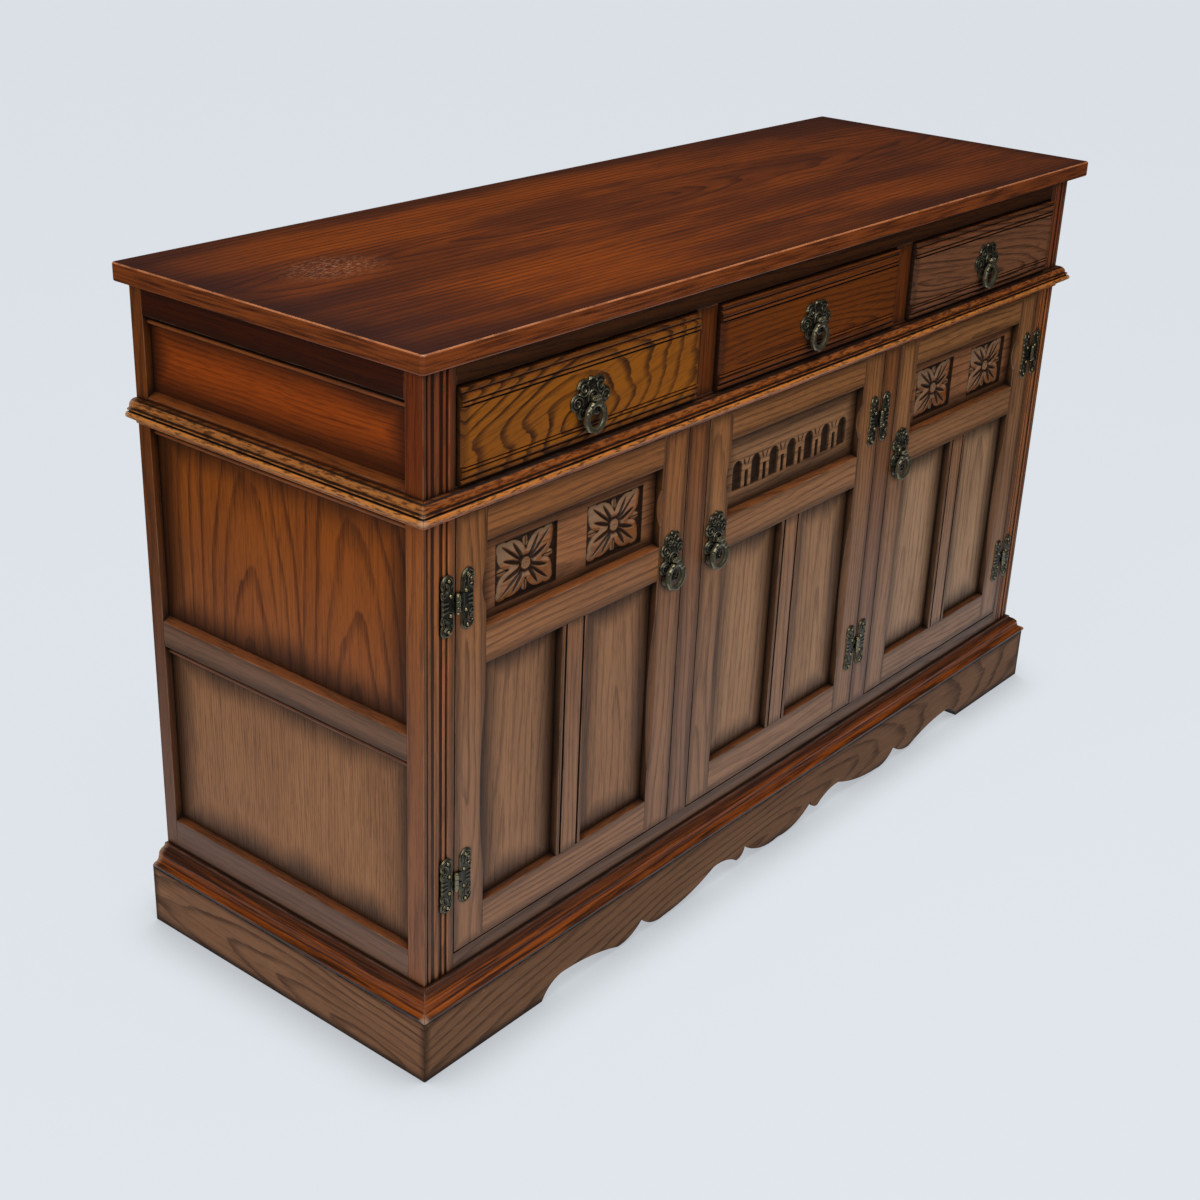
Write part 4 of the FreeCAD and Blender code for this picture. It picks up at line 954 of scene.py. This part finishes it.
def oak(name, wood=stained, gloss=0.36, coat=0.14, hollow_shade=0.95, ledge_light=0.55, floor_sheen=0.42, shine=0.3, extra=None):
    """Oak with growth rings, pores, painted shade in the corners and rubbed arrises.

    The ledge light share paints a highlight on faces that look up; the floor sheen share paints a grey
    reflection of the floor low down."""
    light, dark, pore, worn = wood
    s = Shader(bpy.data.materials.new(name))
    grain = s.attribute("grain", "Vector")
    place = s.vector("ADD", grain, s.vector("SCALE", (3.71, 1.37, 2.93), scale=s.attribute("seed")))
    along, across, deep = s.split(grain)
    tilt, offset, depth = s.parts("figure")
    side_low, side_high, twin = s.parts("side_gap")
    end_low, end_high, rings = s.parts("end_gap")

    # Growth rings about a wandering pith, or about two where the figure is a pair of flames
    across = across + offset
    paired = s.math("GREATER_THAN", twin, 0.001)
    across = across + paired * (abs(across) - twin - across)
    slow_across, slow_deep, _ = s.split(s.noise(place, (2.6, 11.0, 11.0), detail=2.0, output="Color"))
    bold = s.attribute("bold")
    wild = s.step(bold, 1.0, 1.4, 1.0, 2.6)
    ring_across = across + (slow_across - 0.5) * 0.03 * wild
    ring_deep = deep + depth + (along * tilt + (slow_deep - 0.5) * 0.05 * wild)
    radius = s.vector("LENGTH", s.join(ring_across, ring_deep, 0.0))
    wavy = s.noise(place, (16.0, 200.0, 200.0))
    phase = s.math("FRACT", radius * rings + wavy * (rings * 0.0036))
    early = s.step(phase, s.step(rings, 50.0, 150.0, 0.55, 0.40), 0.92) * s.step(phase, 1.0, 0.92)

    # Pores and fibres, then the colour
    dashes = s.noise(place, (34.0, 620.0, 620.0), detail=2.0)
    pores = s.step(dashes + early * 0.12, 0.52, 0.66)
    fine = s.noise(place, (70.0, 1500.0, 1500.0), detail=2.0)
    broad = s.noise(place, (3.0, 16.0, 16.0))
    fibre = s.noise(place, (6.0, 400.0, 400.0), detail=2.0)
    fading = s.noise(place, (4.0, 40.0, 40.0), detail=2.0)
    ring = early * bold * s.step(fading, 0.25, 0.65, 0.3, 1.25)
    tone = ring * 0.45 + ((fine - 0.5) * 0.5 + (fibre - 0.5) * 0.6)
    tone = s.math("ADD", tone, (broad - 0.3) * 0.9, clamp=True)
    colour = s.mix(tone, light, dark)
    colour = s.mix(pores * 0.3, colour, pore)
    colour = s.mix(s.step(fibre, 0.55, 0.72) * 0.25, colour, pore)
    colour = s.mix(s.math("MULTIPLY", ring, fine * 0.5 + 0.25, clamp=True), colour, pore)
    # The board's stain; on the lower and farther boards it also paints in the floor's reflected sheen
    colour = s.mix(1.0, colour, s.attribute("stain_and_sheen", "Color"), blend="MULTIPLY")

    # The darker rim of a board, a painted highlight on faces that look up and a painted grey sheen of the floor
    # low down
    end_gap = s.least(end_low, end_high)
    nearest = s.least(side_low, side_high, end_gap)
    inset, width, strength = s.parts("rim")
    reach = nearest + (broad - 0.5) * (width * 0.9) - inset
    rim = (1.0 - s.step(reach, 0.0, width)) * strength
    colour = s.mix(rim, colour, s.mix(0.88, colour, pore))
    # Painted highlight: faces that look up get a brighter orange tone
    lit_upward = s.step(s.split(s.normal())[2], 0.3, 0.7)
    bright = s.mix(tone, srgb(146, 78, 32), srgb(70, 34, 14))
    bright = s.mix(s.most(pores * 0.55, ring * 0.6), bright, pore)
    # Painted reflection: low down the wood turns grey, as if it mirrored the pale floor
    low = s.step(s.split(s.place())[2], 0.68, 0.34)
    sheen_tone = s.mix(tone, srgb(132, 106, 88), srgb(74, 58, 49))
    sheen_tone = s.mix(s.most(rim, ring * 0.5), sheen_tone, pore)
    colour = s.mix(low * floor_sheen, colour, sheen_tone)
    colour = s.mix(lit_upward * ledge_light, colour, bright)
    if extra:
        colour = extra(s, colour)

    # Painted shade in the corners and hollows, wear on the arrises and the ends
    chafe = s.attribute("chafe")
    chafed = s.step(end_gap + (fine - 0.5) * 0.01, chafe, 0.0) * s.math("GREATER_THAN", chafe, 0.001) * 0.5
    worn_patch = s.step(s.noise(place, (30.0, 90.0, 90.0)), 0.36, 0.66)
    wear = s.most(s.attribute("worn") * worn_patch * 0.75, chafed)
    open_share = s.step(s.openness(0.020), 0.40, 0.93)
    close = s.step(s.openness(0.005), 0.80, 0.40)
    corner_shade = s.most((1.0 - open_share) * hollow_shade, close * hollow_shade, s.attribute("hollow_shade"))
    # Painted shade: corners, creases and hollows are darkened towards near black
    colour = s.mix(corner_shade, colour, srgb(20, 13, 9))
    colour = s.mix(wear * open_share, colour, worn)
    return s.principled(
        Base_Color=colour, Roughness=pores * 0.12 + (broad * 0.10 + gloss),
        Normal=s.bump(pores * -0.6 + fine * 0.35, 0.16, 0.0006),
        Coat_Weight=coat, Coat_Roughness=0.22, Specular_IOR_Level=shine,
    )


scuff_centre = (-0.536, 0.056, 0.84)


def scuffed_top(s, colour):
    """Rubbed marks near the left end of the top, a plain lipping round its edge and a worn upper arris that
    also carries a painted highlight.
    """
    place = s.place()
    x, y, z = s.split(place)
    away = s.vector("MULTIPLY", s.vector("SUBTRACT", place, scuff_centre), (1.0, 1.5, 1.0))
    near = s.step(s.vector("LENGTH", away), 0.085, 0.02)
    marks = s.step(s.noise(place, (120.0, 420.0, 100.0), detail=4.0, rough=0.7), 0.50, 0.60) * near
    cloud = s.noise(place, (2.4, 14.0, 4.0), detail=5.0, rough=0.6)
    colour = s.mix(s.step(cloud, 0.40, 0.62) * 0.6, colour, srgb(46, 19, 11))
    colour = s.mix(s.step(x, 0.0, 0.62) * 0.34, colour, srgb(46, 19, 11))
    colour = s.mix(s.step(x, -0.45, -0.70) * 0.55, colour, srgb(40, 22, 22))
    colour = s.mix(marks * 0.62, colour, srgb(160, 112, 84))
    streak = s.noise(s.join((x + y) * 14.0, 0.0, z * 420.0))
    lipping = s.mix(s.step(streak, 0.35, 0.7), srgb(122, 58, 16), srgb(62, 27, 9))
    facing_up = s.split(s.normal())[2]
    colour = s.mix(s.step(facing_up, 0.80, 0.40), colour, lipping)
    # Wear and painted highlight: the rounding of the upper arris is paled where it faces partly upwards
    worn_lit_arris = s.step(facing_up, 0.25, 0.6) * s.step(facing_up, 0.99, 0.9)
    rubbed = s.step(s.noise(place, (40.0, 40.0, 40.0), detail=4.0), 0.30, 0.56)
    return s.mix(worn_lit_arris * (rubbed * 0.5 + 0.3) * 0.8, colour, srgb(190, 122, 80))


def mottled(s, colour):
    """The waist moulding: a dark upper member, painted shade in the quirks, broken flecks along a golden torus
    and painted light on its sides.
    """
    x, y, z = s.split(s.place())
    up = s.parts("side_gap")[0]
    flecks = s.noise(s.join((x + y) * 80.0, (x - y) * 20.0, z * 460.0), detail=4.0, rough=0.65)
    upper = s.step(up, 0.0172, 0.0186)
    colour = s.mix(upper * 0.45, colour, srgb(70, 40, 22))
    colour = s.mix(s.step(flecks, 0.50, 0.40) * upper * 0.22, colour, srgb(168, 116, 62))
    colour = s.mix(s.band(up, 0.0125, 0.0060) * 0.66, colour, srgb(182, 116, 52))
    # Painted light: faces that look to the sides are paler and more golden
    side_lit = abs(s.split(s.normal())[0])
    colour = s.mix(s.step(side_lit, 0.05, 0.4) * 0.34, colour, srgb(190, 126, 64))
    colour = s.mix(s.step(flecks, 0.49, 0.60) * 0.74, colour, srgb(40, 20, 10))
    # Painted shade: near-black lines in the quirks between the members
    quirk_shade = s.most(s.band(up, 0.0171, 0.0008), s.band(up, 0.0207, 0.0008), s.band(up, 0.0290, 0.0009))
    return s.mix(quirk_shade * 0.92, colour, srgb(14, 8, 6))


def streaked(s, colour):
    """The base moulding: long black streaks in a red brown, and a line of painted shade along its foot."""
    x, y, z = s.split(s.place())
    up = s.parts("side_gap")[0]
    streaks = s.noise(s.join((x + y) * 7.0, (x - y) * 3.0, z * 520.0), rough=0.6)
    colour = s.mix(s.step(streaks, 0.44, 0.60) * 0.85, colour, srgb(28, 14, 9))
    colour = s.mix(s.step(streaks, 0.42, 0.34) * 0.4, colour, srgb(150, 74, 26))
    colour = s.mix(s.step(up, 0.0170, 0.0200) * 0.6, colour, srgb(48, 30, 22))
    # Painted shade: a near-black line along the foot of the moulding
    return s.mix(s.step(up, 0.0036, 0.0024) * 0.9, colour, srgb(16, 9, 7))


def rubbed_carving(s, colour):
    """Painted light on the carving: slopes that look up and to the left are painted pale as if lit, the others
    a darker orange as if in shade.
    """
    x, _, z = s.split(s.term("Normal", "ShaderNodeTexCoord"))
    # Painted light and shade, by which way each carved slope faces
    light_facing = z * 0.8 - x * 0.6
    bare = 1.0 - s.attribute("hollow_shade")
    colour = s.mix(s.step(light_facing, 0.0, 0.045) * bare * 0.62, colour, srgb(124, 104, 80))
    return s.mix(s.step(light_facing, 0.0, -0.045) * bare * 0.85, colour, srgb(116, 62, 14))


plinth_top = 0.081


def shaded_plinth(s, colour):
    """A ragged line of painted shadow where the plinth meets the base moulding, and a few faint rubs along it.
    """
    place = s.place()
    ragged = s.noise(place, (60.0, 60.0, 90.0), detail=4.0, rough=0.7)
    # Painted shadow under the overhang of the base moulding
    line = s.step(s.split(place)[2] + ragged * 0.0090, plinth_top + 0.0006, plinth_top + 0.0020)
    rubs = s.noise(place, (26.0, 26.0, 240.0), rough=0.7)
    colour = s.mix(s.step(rubs, 0.64, 0.72) * 0.22, colour, srgb(176, 138, 108))
    return s.mix(line * 0.92, colour, srgb(12, 8, 6))


post_head = (0.42, 0.22, 0.03, 1.0)


def reeded_front(s, colour):
    """The front of a corner post is darker than its side, and its head above the waist darker still."""
    high = s.step(s.split(s.place())[2], 0.60, 0.72)
    colour = s.mix(high * 0.9, colour, post_head, blend="MULTIPLY")
    return s.mix(s.step(s.split(s.normal())[1], -0.55, -0.9) * 0.56, colour, srgb(58, 44, 30))


outside = oak("stained_oak", coat=0.10, shine=0.2)
top_finish = oak("top_oak", gloss=0.24, coat=0.25, hollow_shade=0.3, ledge_light=0.0, extra=scuffed_top)
reeded_finish = oak("reeded_oak", coat=0.10, shine=0.2, extra=reeded_front)
waist_finish = oak("waist_oak", gloss=0.3, coat=0.16, ledge_light=0.2, floor_sheen=0.0, extra=mottled)
base_finish = oak("base_oak", gloss=0.32, coat=0.10, ledge_light=0.2, floor_sheen=0.0, shine=0.2, extra=streaked)
plinth_finish = oak("plinth_oak", gloss=0.5, coat=0.0, floor_sheen=0.28, shine=0.06, extra=shaded_plinth)
panel_finish = oak("panel_oak", gloss=0.4, coat=0.06, floor_sheen=0.2, shine=0.2)
flank_finish = oak("flank_oak", gloss=0.4, coat=0.05, floor_sheen=0.2, shine=0.14)
carved_finish = oak("carved_oak", gloss=0.4, coat=0.03, floor_sheen=0.26, shine=0.12, extra=rubbed_carving)
inside = oak("inner_wood", unstained, gloss=0.55, coat=0.0, hollow_shade=0.55, ledge_light=0.0, floor_sheen=0.0)
ply_finish = oak("thin_ply", plywood, gloss=0.6, coat=0.0, hollow_shade=0.5, ledge_light=0.0, floor_sheen=0.0)


reed_hollow = (1.5, 3.2)


def reed_glaze(points):
    """Painted shade in the hollows between the reeds of the corner posts."""
    start, end = reed_hollow
    return [0.82 if start < point[1] / mm - front_y < end else 0.0 for point in points]


def boards(node, material=outside, slot_name="stained_oak", width=arris_width, axes=None, rim=plain_rim,
           figures=None, chafe=0.0, wear=0.2):
    """Dresses a node board by board, with eased arrises."""
    timber = Timber(node)
    tones = stains_and_sheen.get(node, [plain_stain])
    for index, (points, faces) in enumerate(solids(node)):
        points, faces, worn = eased(points, faces, width)
        worn = [wear * share for share in worn]
        hollow_shade = reed_glaze(points) if node == "front_posts" else None
        axis = axes[index % len(axes)] if axes else None
        figure = figures[index % len(figures)] if figures else None
        timber.board(points, faces, worn, axis, tones[index % len(tones)], figure, rim, hollow_shade, chafe)
    timber.finish(material, slot_name)


door_names = ("door_left", "door_centre", "door_right")

# Boards with a rim or a figure of their own; the others have the plain rim and draw their figure
top_rim = (0.0, 0.06, 0.7)
side_rim = (panel_tongue, 0.05, 0.95)
door_rim = (panel_tongue, 0.042, 0.95)
plinth_rim = (0.0, 0.012, 0.75)
moulding_rim = (0.0, 0.006, 0.3)
top_figure = (0.09, -0.04, 0.0, 100.0, 0.0, 0.7, 0.0)
rail_figure = (0.03, 0.02, 0.0, 140.0, 0.0, 0.15, 0.0)
plinth_figure = (0.14, 0.02, 0.03, 84.0, 0.0, 0.6, 4.0)
side_axes = [2, 2, 1]
side_figures = [
    (0.02, 0.25, 0.0, 260.0, 0.0, 0.3, 0.0), (0.2, 0.031, 0.036, 56.0, 0.085, 0.55, 0.0),
    (0.05, 0.08, 0.01, 150.0, 0.0, 0.2, 0.0),
]
door_panel_figures = [(0.05, 0.02, 0.01, 95.0, 0.0, 0.26, 1.0), (0.07, -0.01, 0.012, 85.0, 0.0, 0.26, -1.5)]
drawer_figures = {
    "drawer_left": (0.4, 0.01, 0.03, 76.0, 0.0, 1.15, 14.0),
    "drawer_centre": (0.06, 0.03, 0.01, 130.0, 0.0, 0.5, 0.0),
    "drawer_right": (0.12, 0.02, 0.02, 120.0, 0.0, 0.8, -5.0),
}

boards("top_board", top_finish, width=0, rim=top_rim, figures=[top_figure])
boards("side_rails", figures=[rail_figure])
boards("side_panels", flank_finish, "panel_oak", width=0, axes=side_axes, rim=side_rim, figures=side_figures)
boards("front_posts", reeded_finish)
for node in (
    "front_top_rail", "front_waist_rail", "front_bottom_rail", "drawer_muntins", "door_muntins",
    "rear_posts", "panel_beads",
):
    boards(node)
for node in ("plinth_sides", "plinth_front"):
    boards(node, plinth_finish, figures=[plinth_figure], rim=plinth_rim, wear=0.08)
# Worn arrises; the pale line this leaves along a moulding's lower edge also stands in for a painted reflection
for node, finish in (("waist_moulding", waist_finish), ("base_moulding", base_finish)):
    boards(node, finish, chafe=0.010, wear=0.3, rim=moulding_rim)
for node in (
    "plinth_back", "plinth_blocks", "back_rails", "cupboard_floor", "partitions", "shelves", "shelf_battens",
    "drawer_runners", "kicker_rails", "drawer_guides", "door_catches",
):
    boards(node, inside, "stained_oak" if node == "plinth_back" else "inner_wood")
for node in ("back_panel", "dust_board"):
    boards(node, ply_finish, "thin_ply", width=0)
for name in door_names:
    boards(name + "_frame")
    boards(name + "_lower_panels", panel_finish, "panel_oak", width=0, rim=door_rim,
           figures=door_panel_figures)
for name, figure in drawer_figures.items():
    boards(name + "_front", width=0, figures=[figure])
    boards(name + "_box", inside, "inner_wood")


def bronze():
    """Dark antique bronze, green-black in the hollows and rubbed bright on the high spots."""
    s = Shader(bpy.data.materials.new("antique_bronze"))
    place = s.place()
    cloud = s.noise(place, scale=220.0, detail=4.0)
    grit = s.noise(place, scale=900.0)
    pointed = s.term("Pointiness", "ShaderNodeNewGeometry")
    high = s.step(pointed + (grit - 0.5) * 0.05, 0.49, 0.57)
    colour = s.mix(cloud, srgb(22, 22, 18), srgb(54, 51, 40))
    colour = s.mix(high * 0.6, colour, srgb(156, 148, 118))
    colour = s.mix(s.attribute("bright") * 0.7, colour, srgb(176, 160, 112))
    colour = s.mix(s.step(s.openness(0.004), 0.9, 0.45), colour, srgb(10, 10, 9))
    return s.principled(
        Base_Color=colour, Roughness=cloud * 0.2 + 0.28 - high * 0.1, Metallic=0.8,
        Normal=s.bump(grit, 0.35, 0.0004),
    )


bronze_finish = bronze()
hinge_sides = {"door_left": -1, "door_centre": 1, "door_right": 1}
hinge_gap = 0.6
frame_leaves = Metal("hinge_frame_leaves")
for name, side in hinge_sides.items():
    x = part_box(name + "_frame")[0 if side < 0 else 1].x / mm + side * hinge_gap
    leaf_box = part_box(name + "_hinge_leaves")
    door_leaves = Metal(name + "_hinge_leaves")
    for z in (leaf_box[0].z / mm + leaf_half, leaf_box[1].z / mm - leaf_half):
        hinge_half(door_leaves, x, -side, z, False)
        hinge_half(frame_leaves, x, side, z, True)
    door_leaves.finish()
frame_leaves.finish()

for name in (*hinge_sides, *drawer_figures):
    plate_low, plate_high = (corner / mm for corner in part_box(name + "_handle_plate"))
    middle = (plate_low + plate_high) / 2
    shape, rise = (door_plate, 2.0) if name in hinge_sides else (drawer_plate, 0.5)
    plate = Metal(name + "_handle_plate")
    pull_plate(plate, shape, middle.x, plate_high.y, middle.z, rise)
    plate.finish()
    ring(name + "_ring", middle.x, plate_high.y - pivot_out, middle.z + rise)


def carve_rosettes(node, x, z):
    half_u, half_v = (half + rosette_margin for half in rosette_half)
    spans = [(x + place - half_u, x + place + half_u) for place in rosette_places]

    def cut_at(a, b):
        return np.maximum(*(rosette_cut(a - x - place, b - z) for place in rosette_places))

    carved(node, spans, [(z - half_v, z + half_v)], cut_at, carved_finish)


def carve_arches(node, x, foot):
    span = arch_offsets[-1] + arch_half + 1
    carved(node, [(x - span, x + span)], [(foot - 1, foot + arch_rise + 1)],
           lambda a, b: arcade_cut(a - x, b - foot), panel_finish)


# Rosettes on the outer doors, a row of arches on the middle one
for name in hinge_sides:
    node = name + "_carved_panel"
    low, high = (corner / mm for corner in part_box(node))
    x = (low.x + high.x) / 2
    if name == "door_centre":
        carve_arches(node, x, low.z + arch_foot)
    else:
        carve_rosettes(node, x, (low.z + high.z) / 2 - rosette_drop)


floor_half = 30.0


def floor_finish(backdrop):
    """A pale floor that is the backdrop's colour where seen, with a soft shade beside the piece."""
    s = Shader(bpy.data.materials.new("floor"))
    shade = s.step(s.openness(0.085, samples=16), 0.35, 1.0, 0.62, 1.0)
    emission = s.term(0, "ShaderNodeEmission", {"Color": backdrop, "Strength": shade})
    diffuse = s.term(0, "ShaderNodeBsdfDiffuse", {"Color": backdrop})
    x, y, _ = s.split(s.place())
    beyond = s.most(abs(x) - 0.7, abs(y) - 0.23)
    strength = s.step(beyond, 0.85, 0.1, 0.04, 1.2)
    mirrored = s.term(0, "ShaderNodeEmission", {"Color": backdrop, "Strength": strength})
    glossy = s.term("Is Glossy Ray", "ShaderNodeLightPath")
    seen = s.term("Is Camera Ray", "ShaderNodeLightPath") * 0.94
    plain = s.term(0, "ShaderNodeMixShader", {0: glossy, 1: diffuse, 2: mirrored})
    return s.show(s.term(0, "ShaderNodeMixShader", {0: seen, 1: plain, 2: emission}))


def studio(backdrop):
    """The floor, a pale world, three soft lights and the camera."""
    scene = bpy.context.scene
    scene.view_settings.view_transform = "Standard"
    mesh = bpy.data.meshes.new("floor")
    corners = [(-1, -1), (1, -1), (1, 1), (-1, 1)]
    mesh.from_pydata([(floor_half * x, floor_half * y, 0) for x, y in corners], [], [(0, 1, 2, 3)])
    mesh.materials.append(floor_finish(backdrop))
    floor = link("floor", mesh)
    scene.world = bpy.data.worlds.new("studio")
    w = Shader(scene.world)
    seen = w.term("Is Camera Ray", "ShaderNodeLightPath")
    strength = 0.2 - w.term("Is Glossy Ray", "ShaderNodeLightPath") * 0.17
    plain = w.term(0, "ShaderNodeBackground", {"Color": srgb(236, 236, 240), "Strength": strength})
    shown = w.term(0, "ShaderNodeBackground", {"Color": backdrop, "Strength": 1.0})
    w.show(w.term(0, "ShaderNodeMixShader", {0: seen, 1: plain, 2: shown}), "ShaderNodeOutputWorld")
    for name, place, height, size, power in (
        ("overhead", (-0.4, -0.5, 3.2), 0.5, 2.4, 80.0),
        ("front", (-1.2, -3.2, 2.2), 0.45, 1.8, 48.0),
        ("side", (-3.4, -0.4, 1.8), 0.45, 1.6, 38.0),
    ):
        light = bpy.data.lights.new(name, "AREA")
        light.size, light.energy = size, power
        lamp = link(name, light)
        lamp.location = place
        lamp.rotation_euler = (Vector((0.0, 0.0, height)) - Vector(place)).to_track_quat("-Z", "Y").to_euler()
    camera = bpy.data.cameras.new("camera")
    camera.lens = camera_lens
    camera.sensor_width = camera_film
    eye = link("camera", camera)
    aim = (camera_target - camera_place).to_track_quat("-Z", "Y").to_matrix().to_4x4()
    eye.matrix_world = Matrix.Translation(camera_place) @ aim @ Matrix.Rotation(camera_roll, 4, "Z")
    scene.camera = eye


studio(srgb(224, 229, 235))
